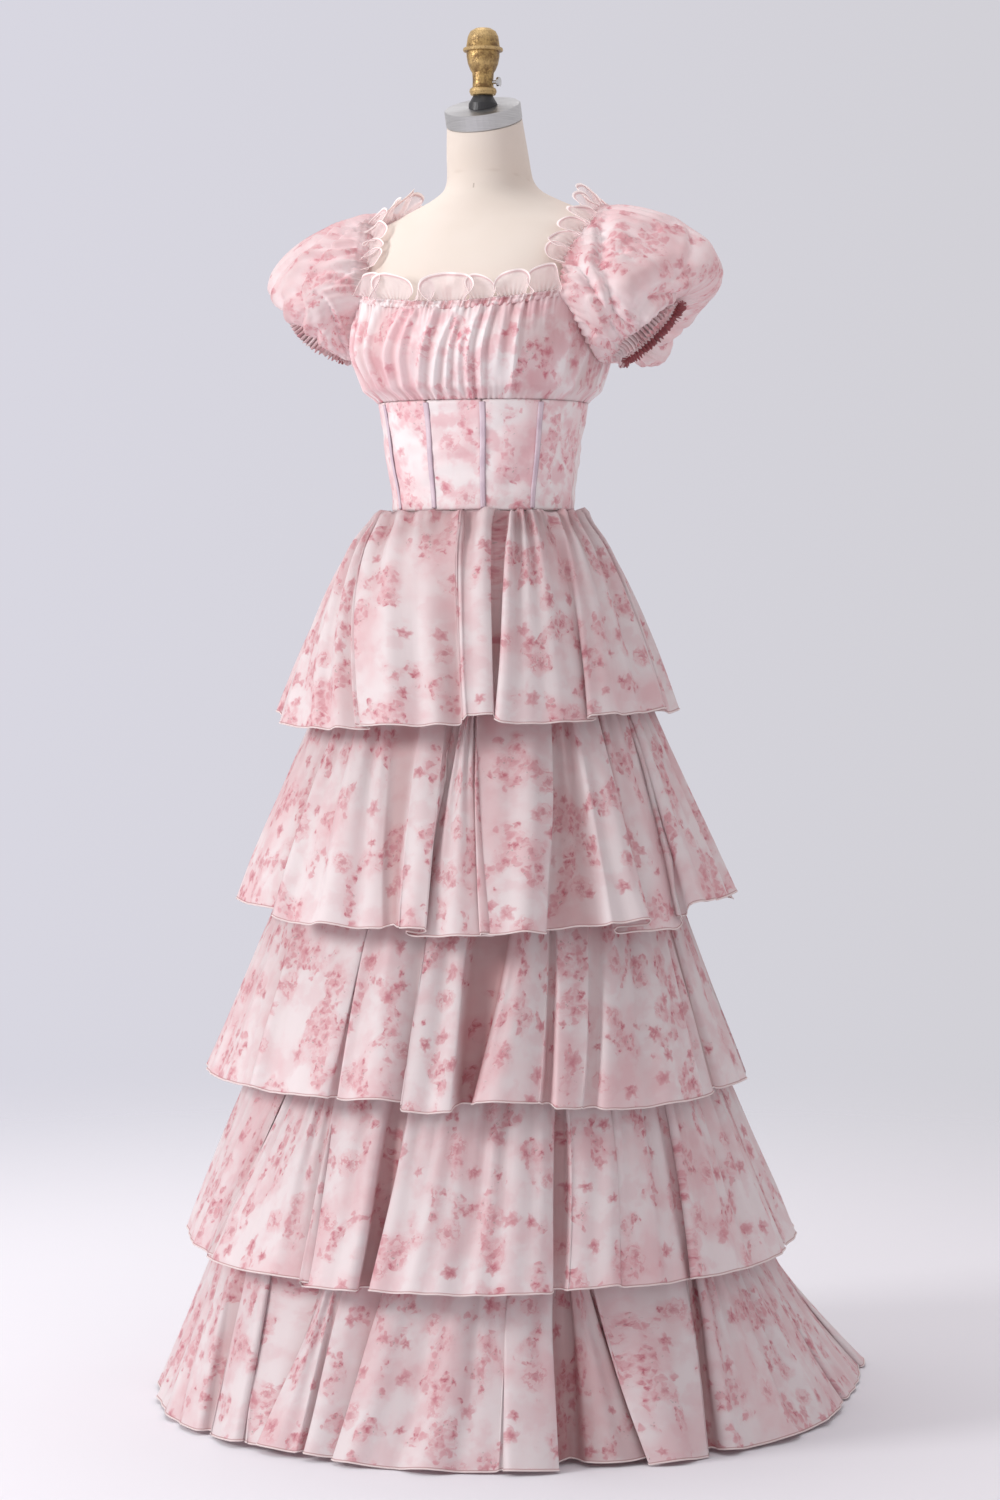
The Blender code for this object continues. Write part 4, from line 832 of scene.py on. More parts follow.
# A soft crease in a panel's face: its angles at the hem and at the seam, its height (a trough is below 0) and
# width in mm, and the shares of the fall where it starts and ends.
Crease = namedtuple("Crease", "hem top height width start end")
CREASES = {
    "tier_1": (
        Crease(-4.0, -36.0, 4.5, 11, 0.0, 0.95), Crease(2.5, -14.0, -6.0, 12, 0.0, 0.9),
        Crease(-44.0, -84.0, 3.5, 16, 0.0, 0.8), Crease(-30.0, -78.0, -3.0, 14, 0.1, 1.0),
        Crease(40.0, 44.0, 3.5, 15, 0.0, 0.8), Crease(48.0, 50.0, -2.5, 10, 0.1, 1.0),
        Crease(66.0, 74.0, 4.0, 15, 0.0, 0.9), Crease(79.0, 86.0, -3.0, 12, 0.0, 1.0),
        Crease(140.0, 136.0, 3.5, 15, 0.0, 0.8), Crease(168.0, 160.0, -4.0, 12, 0.0, 1.0),
        Crease(203.0, 188.0, 3.5, 14, 0.0, 0.9), Crease(230.0, 212.0, 3.5, 13, 0.0, 0.9),
        Crease(263.0, 234.0, -3.0, 12, 0.1, 1.0), Crease(283.0, 251.0, 3.0, 12, 0.0, 0.9),
    ),
    "tier_2": (
        Crease(-52.0, -62.0, 4.0, 18, 0.0, 0.9), Crease(-22.0, -36.0, -4.0, 14, 0.1, 1.0),
        Crease(-13.0, -27.0, 3.0, 10, 0.0, 0.8), Crease(25.0, 26.0, -5.0, 12, 0.0, 1.0),
        Crease(30.0, 34.0, 3.0, 9, 0.0, 0.9), Crease(90.0, 78.5, 3.5, 16, 0.0, 1.0),
        Crease(80.0, 86.0, -3.5, 12, 0.2, 1.0), Crease(126.0, 120.0, 4.0, 18, 0.0, 0.9),
        Crease(152.0, 151.0, -4.0, 16, 0.0, 1.0), Crease(209.0, 210.0, -4.0, 16, 0.1, 1.0),
        Crease(246.0, 243.0, 4.0, 16, 0.0, 0.9), Crease(273.0, 270.0, -3.5, 14, 0.1, 1.0),
    ),
    "tier_3": (
        Crease(-52.0, -62.0, -4.0, 20, 0.0, 1.0), Crease(-24.5, -24.5, -4.5, 14, 0.0, 1.0),
        Crease(-3.0, -6.0, 3.5, 12, 0.0, 0.9), Crease(9.0, 9.0, -2.5, 10, 0.0, 0.9),
        Crease(38.0, 54.0, 3.0, 10, 0.0, 0.9), Crease(55.0, 66.0, -5.0, 18, 0.0, 1.0),
        Crease(67.0, 74.0, 3.5, 16, 0.0, 1.0), Crease(94.0, 93.0, -3.0, 16, 0.0, 0.9),
        Crease(147.0, 144.0, -4.0, 18, 0.0, 1.0), Crease(173.0, 172.0, 4.0, 18, 0.0, 0.9),
        Crease(208.0, 204.0, -4.0, 16, 0.1, 1.0), Crease(236.0, 236.0, 4.0, 18, 0.0, 0.9),
        Crease(269.0, 264.0, -4.0, 18, 0.0, 1.0),
    ),
    "tier_4": (
        Crease(-60.0, -48.0, -4.0, 20, 0.0, 1.0), Crease(-30.0, -25.0, 3.5, 18, 0.0, 0.9),
        Crease(14.0, 21.0, -7.0, 22, 0.0, 1.0), Crease(23.0, 27.0, 3.0, 14, 0.0, 1.0),
        Crease(4.0, 10.0, 2.5, 16, 0.2, 1.0), Crease(53.0, 59.0, 3.0, 14, 0.0, 0.9),
        Crease(76.0, 79.0, -4.0, 20, 0.1, 1.0), Crease(112.0, 109.0, 4.0, 20, 0.0, 0.9),
        Crease(140.0, 141.0, -5.0, 22, 0.0, 1.0), Crease(174.0, 177.0, 4.0, 20, 0.0, 0.9),
        Crease(202.0, 210.0, -5.0, 22, 0.0, 1.0), Crease(236.0, 246.0, 4.0, 20, 0.0, 0.9),
        Crease(262.0, 278.0, -4.0, 20, 0.1, 1.0),
    ),
    "tier_5": (
        Crease(-58.0, -62.0, -7.0, 26, 0.0, 1.0), Crease(-46.0, -55.0, 4.0, 20, 0.2, 1.0),
        Crease(6.0, 12.0, -6.0, 34, 0.1, 1.0), Crease(-2.0, 5.0, 3.0, 16, 0.3, 1.0),
        Crease(49.0, 50.0, 5.0, 22, 0.0, 0.9), Crease(53.0, 60.0, -4.0, 14, 0.3, 1.0),
        Crease(78.0, 80.0, -7.0, 26, 0.0, 1.0), Crease(90.0, 84.0, 4.0, 18, 0.2, 1.0),
        Crease(117.0, 106.0, 5.0, 24, 0.0, 1.0), Crease(143.0, 140.0, -7.0, 28, 0.0, 1.0),
        Crease(178.0, 174.0, 5.0, 24, 0.0, 1.0), Crease(203.0, 206.0, -7.0, 28, 0.0, 1.0),
        Crease(238.0, 240.0, 5.0, 24, 0.0, 1.0), Crease(261.0, 271.0, -6.0, 26, 0.0, 1.0),
    ),
}
# Where a hem is swept out past its oval, or in: the middle and half width in degrees, and by what share.
Sweep = namedtuple("Sweep", "angle width out")
SWEEPS = {
    "tier_5": (Sweep(131.0, 17.0, 0.150), Sweep(-64.0, 18.0, -0.030), Sweep(20.0, 16.0, 0.010)),
    "tier_4": (Sweep(116.0, 14.0, 0.020), Sweep(-70.0, 20.0, -0.024)),
    "tier_2": (Sweep(110.0, 14.0, 0.015), Sweep(-70.0, 14.0, -0.014)),
}
SWAYS = {"tier_1": 0.0085, "tier_3": 0.0085}  # how far a tier hangs over to the dress's right
SWAYS_FROM = np.array((0.94, 0.34))
COLUMN_WIDTH = 0.0068
TIER_FALLS = np.concatenate([np.linspace(0, 0.1, 8)[:-1], np.linspace(0.1, 1, 22)])[:, None]
FOLD_GROWTH = mix(GATHER_SHARE, 1.0, TIER_FALLS**0.8)
SKIRT_REACH = mix(0.15, 0.30, TIER_FALLS)  # from the middle, near enough, for distances round a tier
# Uneven waves of a tier's cloth: the width and height of one, how much their number varies, and a seed.
Waves = namedtuple("Waves", "width height uneven seed")
PUCKERS = Waves(0.0075, 0.0009, 0.3, 0)
GATHERS = Waves(0.017, 0.0036, 0.4, 20)
FLUTES = Waves(0.055, 0.0019, 0.5, 60)
BILLOWS = Waves(0.12, 0.0026, 0.5, 40)
WAIST_LOOPS = Waves(0.021, 0.38, 0.25, 69)
PRINT_OFFSETS = {"tier_1": 0.0, "tier_2": 3.31, "tier_3": 7.52, "tier_4": 12.23, "tier_5": 17.04}
HEM_ROLL = 0.0020  # depth of the rolled hem
# A row of a rolled hem, in its own depths: how far down the cloth, how far out of its face, and the mask that
# gives the painted shadow line under the cord (0.4) and the pale cord (1).
Roll = namedtuple("Roll", "down out mask")
ROLLS = (
    Roll(-1.9, 0.0, 0.0), Roll(-1.4, 0.0, 0.4), Roll(-1.0, 0.1, 0.75),
    Roll(-0.75, 0.38, 1.0), Roll(-0.3, 0.42, 1.0), Roll(0.0, 0.0, 1.0),
)


def tier_wall(tier):
    """A tier's smooth wall, from its seam to its hem, and each column's angle and depth in a fold."""
    controls = np.stack([ring_controls(tier.panels, fall**tier.swing) for fall in TIER_FALLS[:, 0]])
    hem = controls[-1]
    steps = np.roll(hem, -1, 0) - hem
    steps[-1, 0] += 360
    reach = (tier.width + tier.front) / 2
    gaps = np.hypot(np.radians(steps[:, 0]) * reach, steps[:, 1])
    counts = np.clip(np.ceil(gaps / COLUMN_WIDTH), 2, 14).astype(int)
    angle, depth, drop = np.moveaxis(closed_curve(controls, counts), -1, 0)
    seam_width, seam_front, seam_back, seam_middle, _ = smooth_between(UNDERSKIRT, tier.top)
    start = SEAM + CLOTH + max(hem[:, 1].max(), controls[0, :, 1].max()) * GATHER_SHARE
    flare = TIER_FALLS**tier.flare
    sizes = [
        mix(near + start, far, flare) - depth * FOLD_GROWTH
        for near, far in ((seam_width, tier.width), (seam_front, tier.front), (seam_back, tier.back))
    ]
    dip = tier.dip * (1 + np.cos(np.radians(angle))) / 2
    height = mix(tier.top, tier.hem - dip - drop, TIER_FALLS)
    return oval(angle, height, *sizes, mix(seam_middle, tier.middle, flare)), angle, depth


def wavy(waves, along, length, number):
    """A kind of waves, along a closed strip of some length. along goes from 0 to 1."""
    return ripples(along, length / waves.width, waves.uneven, waves.seed + number) * waves.height


def crease_lift(crease, tier, angle, depth):
    """How far a soft crease lifts each point of a tier."""
    at = mix(crease.top, crease.hem, TIER_FALLS**tier.swing)
    off = np.radians(degrees_past(angle, at)) * SKIRT_REACH * 1000 / crease.width
    begins = np.clip((TIER_FALLS - crease.start) / 0.15 + 0.4, 0, 1)
    ends = np.clip((crease.end - TIER_FALLS) / 0.2 + 0.3, 0, 1)
    on_face = np.clip(1 - depth / 0.006, 0, 1)
    return crease.height / 1000 * bell(off, 0, 1) * (begins * ends) * on_face * mix(0.45, 1.0, TIER_FALLS)


def roll_hem(points):
    """Rolls a tier's last row to the outside and sews it down, which leaves a thin cord along the edge."""
    fall_line = unit(points[-1] - points[-2])
    face = outward(points, True)[-1]
    rows = [points[-1] + fall_line * HEM_ROLL * roll.down + face * HEM_ROLL * roll.out for roll in ROLLS]
    return np.concatenate([points[:-1], rows])


for number, (name, tier) in enumerate(TIERS.items(), 1):
    falls = TIER_FALLS
    points, angle, depth = tier_wall(tier)
    steps = np.linalg.norm(np.roll(points, -1, 1) - points, axis=2)
    seam_length, hem_length = float(steps[0].sum()), float(steps[-1].sum())
    along = np.concatenate([[0], np.cumsum(steps[-1])]) / hem_length
    drop_length = float(lengths_along(points, 0)[-1].mean())
    down = falls * drop_length
    # Gathers: tight at the seam, some of them running on as soft folds.
    share = along[None, :-1]
    wander = share + 0.0010 * np.sin(2 * math.pi * (down / 0.19 + 3 * share)) * falls
    from_seam = 1 - np.exp(-down / 0.003)
    puckers = wavy(PUCKERS, wander, seam_length, number) * np.exp(-down / 0.022) * (0.35 + 0.65 * from_seam)
    gathers = wavy(GATHERS, wander, seam_length, number) * np.exp(-down / 0.10) * from_seam
    if name == "tier_1":
        gathers = gathers * (1 - 0.15 * np.exp(-down / 0.030)) - 0.0030 * bell(down, 0.022, 0.020)
    folds = puckers + gathers + wavy(FLUTES, wander, hem_length, number) * falls**0.6
    lift = folds + wavy(BILLOWS, wander, hem_length, number) * falls**0.7
    if name == "tier_1":
        # The waist's gathers blouse out and up over their seam in small rounded loops.
        loops = np.clip(0.62 + wavy(WAIST_LOOPS, wander, seam_length, number), 0, 1.4)
        lift = lift + 0.0026 * bell(down, 0.0065, 0.0060) * loops
    lift = sum((crease_lift(crease, tier, angle, depth) for crease in CREASES[name]), lift)
    points = points + outward(points, True) * lift[..., None]
    if name == "tier_1":
        points[..., 2] += 0.0024 * bell(down, 0.003, 0.005) * loops
    for sweep in SWEEPS.get(name, ()):
        swept = bell(degrees_past(angle, sweep.angle), 0, sweep.width) * falls**1.1
        points[..., :2] *= 1 + sweep.out * swept[..., None]
    points[..., :2] -= SWAYS.get(name, 0.0) * falls[..., None] ** 0.4 * SWAYS_FROM
    if name == "tier_5":
        points[..., 2] = np.maximum(points[..., 2], tier.hem + 0.0013 * falls)
    points = roll_hem(points)
    flat_down = np.concatenate([down[:-1, 0], [drop_length + HEM_ROLL * roll.down for roll in ROLLS]])
    flat = np.stack(np.meshgrid(along * hem_length + PRINT_OFFSETS[name], flat_down), -1)
    # Painted shade: deep in the folds, in the shadow under the tier above and in the gathers' troughs.
    shadow_under_tier_above = 0.12 if name == "tier_1" else 0.32
    layered = 0.70 * ramp(depth, 0.004, 0.022) * np.clip(FOLD_GROWTH * 1.6, 0, 1)
    layered = np.maximum(layered, shadow_under_tier_above * np.exp(-down / 0.030))
    layered = np.maximum(layered, 0.45 * np.clip(0.25 - folds / 0.0032, 0, 1) * np.exp(-down / 0.075))
    layered = np.concatenate([layered[:-1], np.repeat(layered[-1:], len(ROLLS), 0)])
    hem_mask = np.zeros(points.shape[:2])
    hem_mask[-len(ROLLS):] = np.array([roll.mask for roll in ROLLS])[:, None]
    mesh = grid_mesh(name + "_cloth", points, flat, True, hem=hem_mask, layered=layered)
    cloth = put(name + "_cloth", mesh, organza, "printed_organza", name, thickness=ORGANZA_WALL)


# ---- Waist corset ----
# Seven close-fitting panels of printed satin over firm lining, sewn edge to edge from the underbust seam to
# the waist seam. Each seam is a narrow ditch, and the cloth pulls in faint drag lines across the waist.

Ease = namedtuple("Ease", "height ease")
EASE = (  # room between the form and the bodice, which blouses over the underbust seam
    Ease(1.100, 0.0040),
    Ease(1.180, 0.0040),
    Ease(1.2455, 0.0055),
    Ease(1.262, 0.0170),
    Ease(1.290, 0.0165),
    Ease(1.330, 0.0115),
    Ease(1.374, 0.0060),
    Ease(1.420, 0.0050),
    Ease(1.490, 0.0050),
)
WAIST_Z = 1.110
UNDERBUST_Z = 1.245
PANEL_SEAM = 0.0009  # gap between curved panels
CORSET_PANELS = {
    "corset_back_right": (-177.7, -90.0),
    "corset_side_right": (-90.0, -48.0),
    "corset_front_right": (-48.0, -16.0),
    "corset_centre": (-16.0, 16.0),
    "corset_front_left": (16.0, 48.0),
    "corset_side_left": (48.0, 90.0),
    "corset_back_left": (90.0, 177.7),
}
METRES_A_DEGREE = 0.0021  # round the bodice


def bodice_point(angle, height, out=0.0):
    """Points of the bodice's outer face: the form's own shape with the cloth's ease."""
    return form_point(angle, height, smooth_between(EASE, height)[..., 0] + out)


def crumple(x, y, size, seed, terms=14):
    """Random soft hollows and swellings of a cloth, about size metres across and one unit high."""
    chance = np.random.default_rng(seed)
    total = 0
    for _ in range(terms):
        way, phase = chance.uniform(0, math.pi), chance.uniform(0, 2 * math.pi)
        pace = 2 * math.pi / (size * chance.uniform(0.7, 1.6))
        total = total + np.sin(pace * (x * math.cos(way) + y * math.sin(way)) + phase)
    return total / math.sqrt(terms / 2)


def bodice_flat(angles, heights, shift):
    """Where the points of a bodice panel lie on the flat cloth."""
    angles, heights = np.broadcast_arrays(angles, heights)
    return np.stack([angles * METRES_A_DEGREE + shift, -heights], -1)


satin = printed_cloth("bodice_satin", 0.06, 0.00035, flush=1.0)
seam_degrees = PANEL_SEAM / 2 / METRES_A_DEGREE
for number, (name, (start, end)) in enumerate(CORSET_PANELS.items()):
    angles = np.linspace(start + seam_degrees, end - seam_degrees, int((end - start) / 0.9))
    heights = np.linspace(UNDERBUST_Z - SEAM / 2, WAIST_Z + SEAM, 44)[:, None]
    from_seam = np.minimum(angles - start, end - angles) * METRES_A_DEGREE
    ditch = -0.0008 * bell(from_seam, 0, 0.0013) + 0.0003 * bell(from_seam, 0.0045, 0.002)
    from_ends = np.minimum(UNDERBUST_Z - heights, heights - WAIST_Z)
    turned = -0.0007 * bell(from_ends, 0, 0.0018)
    x, y = np.broadcast_arrays(angles * METRES_A_DEGREE, heights)
    drag = 0.00045 * crumple(x * 0.45, y, 0.022, 60 + number)
    drag = drag + 0.0004 * crumple(x, y * 0.6, 0.045, 80 + number)
    drag = drag * ramp(from_seam, 0, 0.006) * ramp(from_ends, 0, 0.008)
    points = bodice_point(angles, heights, ditch + turned + drag)
    mesh = grid_mesh(name + "_cloth", points, bodice_flat(angles, heights, 21.0 + number * 0.37))
    panel = put(name + "_cloth", mesh, satin, "printed_organza", name, thickness=0.0008)


# ---- Boning channels ----
# Lavender-grey satin tape, stitched down both edges over the four front seams, with a flat spiral bone
# inside that rounds its middle.

BONES = {"bone_1": -48.0, "bone_2": -16.0, "bone_3": 16.0, "bone_4": 48.0}
BONE_WIDTH = 0.0072
BONE_STITCH = 0.0028  # length of a stitch along the channel
tape = Finish("boning_tape", Roughness=0.34, Sheen_Weight=0.3)
tape_place = tape.cloth_place()
tape_ribs = tape.node("ShaderNodeTexWave", {"bands_direction": "Y"}, {"Vector": tape_place, "Scale": 420})
tape_soil = tape.noise(tape_place, 45, 3)
# Painted shadow: a dark line along the channel's edge on the side away from the key light.
tape_edge_shadow = tape.mask("edge")
tape_colour = tape.blend(tape_soil.rise(0.35, 0.65), (0.60, 0.47, 0.55), (0.70, 0.57, 0.64))
tape.paint(
    Base_Color=tape.blend(tape_edge_shadow * 0.75, tape_colour, (0.30, 0.20, 0.26)),
    Normal=tape.bump(tape_ribs * 0.5 + tape_soil, 0.0003, 0.4),
)
for name, angle in BONES.items():
    heights = np.linspace(UNDERBUST_Z - 0.0030, WAIST_Z + 0.0030, 64)[:, None]
    across = np.linspace(-1, 1, 13)
    stitch = np.abs(np.sin(math.pi * (heights - WAIST_Z) / BONE_STITCH))
    swell = 0.0013 * (1 - across**4) - 0.0004 * bell(np.abs(across), 0.72, 0.08) * stitch
    bow = 0.0006 * np.sin((heights - WAIST_Z) * 46 + angle)
    at = angle + (across * BONE_WIDTH / 2 + bow) / METRES_A_DEGREE
    points = bodice_point(at, heights, 0.0009 + swell)
    # Mask of the painted shadow: the channel's edge away from the key light.
    edge = np.broadcast_to(ramp(across, 0.62, 0.3), points.shape[:2])
    flat = np.stack(np.broadcast_arrays(across * BONE_WIDTH / 2 + 0.02 * angle, -heights), -1)
    mesh = grid_mesh(name + "_channel", points, flat, edge=edge)
    channel = put(name + "_channel", mesh, tape, "boning_tape", name, thickness=0.0012)


# ---- Gathered bust and backs ----
# The bust is one wide piece gathered into the underbust seam and on to elastic along the square neckline.
# Its folds run down from the elastic and blouse over the seam. The two plain backs meet at the zip.

NECKLINE_Z = 1.363
NECKLINE_RISE = 0.014  # from the centre front to the neckline's corners
CORNER = 49.0
BACK_CORNER = 132.0
BACK_NECK_Z = 1.400
# Where the armhole's seam runs: its phase in degrees, from the shoulder round to the front, and its angle and
# height on the bodice.
Armhole = namedtuple("Armhole", "phase angle height")
ARMHOLE = (
    Armhole(0, 90, 1.486), Armhole(30, 60, 1.466), Armhole(55, 50, 1.435), Armhole(75, 49, 1.405),
    Armhole(95, 49, 1.378), Armhole(120, 57, 1.352), Armhole(145, 69, 1.320), Armhole(165, 78, 1.301),
    Armhole(180, 86, 1.295), Armhole(195, 96, 1.296), Armhole(215, 108, 1.314), Armhole(240, 121, 1.352),
    Armhole(265, 132, 1.402), Armhole(285, 131, 1.428), Armhole(310, 127, 1.456), Armhole(335, 112, 1.476),
)
BAND = 0.0095  # depth of the elastic shirring under the neckline
TUCK_WIDTH = 0.0060
BAND_COLUMN = 0.00050
BODICE_CLOTH = 0.0007  # thickness of the bust and of the backs


def top_edge(angle):
    """Height of the bodice's top edge: the square neckline, the armholes and the straight back."""
    angle = np.abs(angle)
    lower_half = [(row.angle, row.height) for row in ARMHOLE if 95 <= row.phase <= 265]
    under_arm = smooth_between(lower_half, angle)[..., 0]
    front = NECKLINE_Z + NECKLINE_RISE * (angle / CORNER) ** 2
    return np.where(angle <= CORNER, front, np.where(angle >= BACK_CORNER, BACK_NECK_Z, under_arm - 2 * SEAM))


def shirring(along, down, seed):
    """Height of elastic gathers: tight uneven tucks, drawn in along the two rows of elastic."""
    wander = along + 0.0009 * np.sin(along * 700 + seed) + 0.0005 * np.sin(along * 1900 + 2 * seed)
    wander = wander + down * 0.25
    tucks = 1 - 2 * np.abs(np.sin(math.pi * wander / TUCK_WIDTH)) ** 0.7
    tucks = tucks * (0.70 + 0.30 * np.sin(along * 330 + seed))
    rows = bell(down, 0.0022, 0.0012) + bell(down, BAND - 0.0014, 0.0012)
    under = ramp(down, BAND - 0.0016, 0.0016)
    return 0.0018 * tucks * (1 - 0.35 * rows) + 0.0010 - 0.0009 * rows - 0.0022 * under**2


# A fold of the bust: its angles under the elastic, half way down and at the seam, its height and width in mm,
# and the shares of the way down where it starts and ends.
Gather = namedtuple("Gather", "top bend foot height width start end")
BUST_GATHERS = (
    Gather(-66.0, -66.0, -64.0, 2.4, 5.0, 0.0, 1.0), Gather(-54.0, -57.0, -54.0, 2.6, 4.5, 0.1, 1.0),
    Gather(-43.0, -48.0, -46.5, 2.8, 4.5, 0.0, 0.9), Gather(-33.0, -39.0, -38.0, 2.8, 4.0, 0.0, 1.0),
    Gather(-18.2, -27.0, -29.5, 3.2, 4.0, 0.0, 1.0), Gather(-13.8, -19.5, -23.0, 3.0, 3.4, 0.05, 1.0),
    Gather(-4.5, -9.5, -16.5, 3.6, 3.8, 0.0, 1.0), Gather(5.2, -2.0, -9.0, 3.6, 3.6, 0.0, 1.0),
    Gather(7.5, 3.0, -2.2, 3.0, 3.0, 0.0, 1.0), Gather(12.0, 8.0, 4.5, 2.4, 3.0, 0.3, 1.0),
    Gather(16.2, 12.0, 10.0, 3.6, 3.4, 0.0, 1.0), Gather(21.8, 18.0, 16.0, 3.2, 3.0, 0.0, 1.0),
    Gather(27.5, 25.0, 22.0, 2.0, 4.0, 0.0, 0.8), Gather(33.5, 31.8, 29.5, 2.8, 2.6, 0.0, 1.0),
    Gather(38.0, 39.0, 39.0, 1.8, 2.8, 0.0, 0.35), Gather(43.5, 44.0, 44.0, 1.8, 2.6, 0.0, 0.30),
    Gather(57.0, 55.0, 50.0, 1.4, 5.0, 0.2, 0.9), Gather(72.0, 66.0, 60.0, 1.6, 6.0, 0.1, 1.0),
)


BUST_ARC = 0.47  # round the bodice, which the bust's fine gathers are counted on


def bust_folds(angles, share, down, up):
    """How far the bust's cloth stands out, from its folds and from the tight gathers at both edges."""
    lift = 0
    for gather in BUST_GATHERS:
        bend = gather.bend * 2 - (gather.top + gather.foot) / 2
        middle = (1 - share) ** 2 * gather.top + 2 * share * (1 - share) * bend + share**2 * gather.foot
        off = (angles - middle) * METRES_A_DEGREE * 1000 / gather.width
        begins = np.clip((share - gather.start) / 0.10 + 0.55, 0, 1)
        ends = np.clip((gather.end - share) / 0.25 + (0.5 if gather.end >= 1 else 0.0), 0, 1)
        # A rounded crest, with a hollow along one side of it.
        fold = np.exp(-(np.abs(off) ** 1.25)) - 0.40 * bell(off, 1.6, 0.8)
        lift = lift + 1.35 * gather.height / 1000 * fold * begins * ends
    along = angles * METRES_A_DEGREE
    share_round = along / BUST_ARC + 0.5
    fade = np.clip(1 - np.abs(angles) / 80, 0.15, 1) * np.where(angles > 34, 0.35, 1)
    lift = lift + 0.0011 * np.exp(-up / 0.011) * fade * ripples(share_round, 74, 0.25, 5)
    lift = lift + 0.0009 * np.exp(-down / 0.012) * ripples(share_round, 95, 0.3, 6)
    return lift + 0.0007 * crumple(along, down * 0.5, 0.06, 7) * ramp(up, 0, 0.02)


def in_troughs(lift, deep, most=0.75):
    """How much a cloth's own folds shade it: most in the troughs, which lie deep metres under the rest."""
    return most * np.clip(0.35 - (lift - lift.mean()) / deep, 0, 1)


side = 90 - seam_degrees
plainer = np.linspace(-side, -70, 18)[:-1], np.linspace(50, side, 36)[1:]
bust_angles = np.concatenate([plainer[0], np.linspace(-70, 50, 240), plainer[1]])
bust_tops = top_edge(bust_angles) - np.where(np.abs(bust_angles) < CORNER, 0.6 * BAND, 0.0)
bust_foot = UNDERBUST_Z + SEAM / 2
shares = np.linspace(0, 1, 62)[:, None] ** 0.9
bust_heights = mix(bust_tops, bust_foot, shares)
lift = bust_folds(bust_angles, shares, bust_tops - bust_heights, bust_heights - bust_foot)
lift = lift - 0.0011 * bell(bust_heights, bust_foot, 0.0016)
points = bodice_point(bust_angles, bust_heights, np.maximum(lift, -0.0040))
flat = bodice_flat(bust_angles * 1.5, bust_heights, 25.0)
# Painted shade in the troughs of the bust's folds.
bust_mesh = grid_mesh("bust_cloth", points, flat, layered=in_troughs(lift, 0.0030, 0.42))
bust = put("bust_cloth", bust_mesh, satin, "printed_organza", "bust_front", thickness=BODICE_CLOTH)


def neck_band(name, start, end, shift):
    """The shirred edge of the neckline between two angles: the cloth drawn up on two rows of elastic."""
    angles = np.linspace(start, end, int(abs(end - start) * METRES_A_DEGREE / BAND_COLUMN))
    down = np.linspace(-0.0012, BAND, 13)[:, None]
    top = top_edge(np.clip(angles, -CORNER, CORNER)) if abs(start) < 90 else BACK_NECK_Z + 0 * angles
    lift = shirring(angles * METRES_A_DEGREE, down, shift)
    points = bodice_point(angles, top - down, 0.0016 + lift)
    flat = bodice_flat(angles * 2.2, -down * 1.2, shift)
    # Painted shade in the troughs between the tucks.
    mesh = grid_mesh(name, points, flat, layered=in_troughs(lift, 0.0016))
    return put(name, mesh, satin, "printed_organza", thickness=ORGANZA_WALL)


front_band = neck_band("neck_shirring_front", -CORNER - 0.6, CORNER + 0.6, 27.0)
BACK_ARC = 0.19  # round the bodice, from the side to the zip
for name, way in (("left", 1), ("right", -1)):
    ends = sorted((way * (90 + seam_degrees), way * 178.0))
    angles = np.linspace(*ends, 120)
    tops = top_edge(angles) - np.where(np.abs(angles) > BACK_CORNER, 0.6 * BAND, 0.0)
    heights = mix(tops, bust_foot, np.linspace(0, 1, 42)[:, None])
    up, down = heights - bust_foot, tops - heights
    along = angles * METRES_A_DEGREE
    lift = 0.0010 * crumple(along, heights * 0.6, 0.055, 91 + way) * ramp(up, 0, 0.02)
    lift = lift + 0.0008 * np.exp(-up / 0.010) * ripples(along / BACK_ARC, 22, 0.3, 93 + way)
    lift = lift + 0.0010 * np.exp(-down / 0.014) * ripples(along / BACK_ARC, 40, 0.3, 95 + way)
    lift = lift - 0.0010 * bell(up, 0, 0.0016) - 0.0006 * bell(np.abs(angles), 180, 0.9)
    points = bodice_point(angles, heights, lift)
    mesh = grid_mesh(f"back_{name}_cloth", points, bodice_flat(angles, heights, 30 + way))
    back = put(f"back_{name}_cloth", mesh, satin, "printed_organza", "back_" + name, thickness=BODICE_CLOTH)
    band_ends = sorted((way * (BACK_CORNER - 0.6), way * 178.3))
    band = neck_band(f"neck_shirring_back_{name}", *band_ends, 33.0 + way)


# ---- Zip ----
# An invisible zip down the centre back: the two backs' folded edges meet over the coil in a fine cleft. Only
# the painted slider and its pull tab, which hangs from it, show at the top.

ZIP_WIDTH = 0.0108
upper_heights = np.linspace(BACK_NECK_Z - 0.001, 1.252, 60)
lower_heights = np.linspace(1.250, WAIST_Z + SEAM, 40)
zip_heights = np.concatenate([upper_heights, lower_heights])[:, None]
across = np.linspace(1, -1, 21)
lips = 0.0005 * (1 - across**2) - 0.0014 * across**10 - 0.0016 * bell(across, 0, 0.07)
offset = across * ZIP_WIDTH / 2
middle = bodice_point(np.array(180.0), zip_heights[:, 0])
points = middle[:, None, :] + np.stack([offset, 0 * offset, 0 * offset], -1)
points[..., 1] += lips + 0.0002 * np.sin(zip_heights * 900)
flat = np.stack(np.broadcast_arrays(offset * 1.2 + 36, -zip_heights), -1)
lips_mesh = grid_mesh("zip_lips", points, flat)
zip_lips = put("zip_lips", lips_mesh, satin, "zip_nylon", "zip_tape", thickness=ORGANZA_WALL)

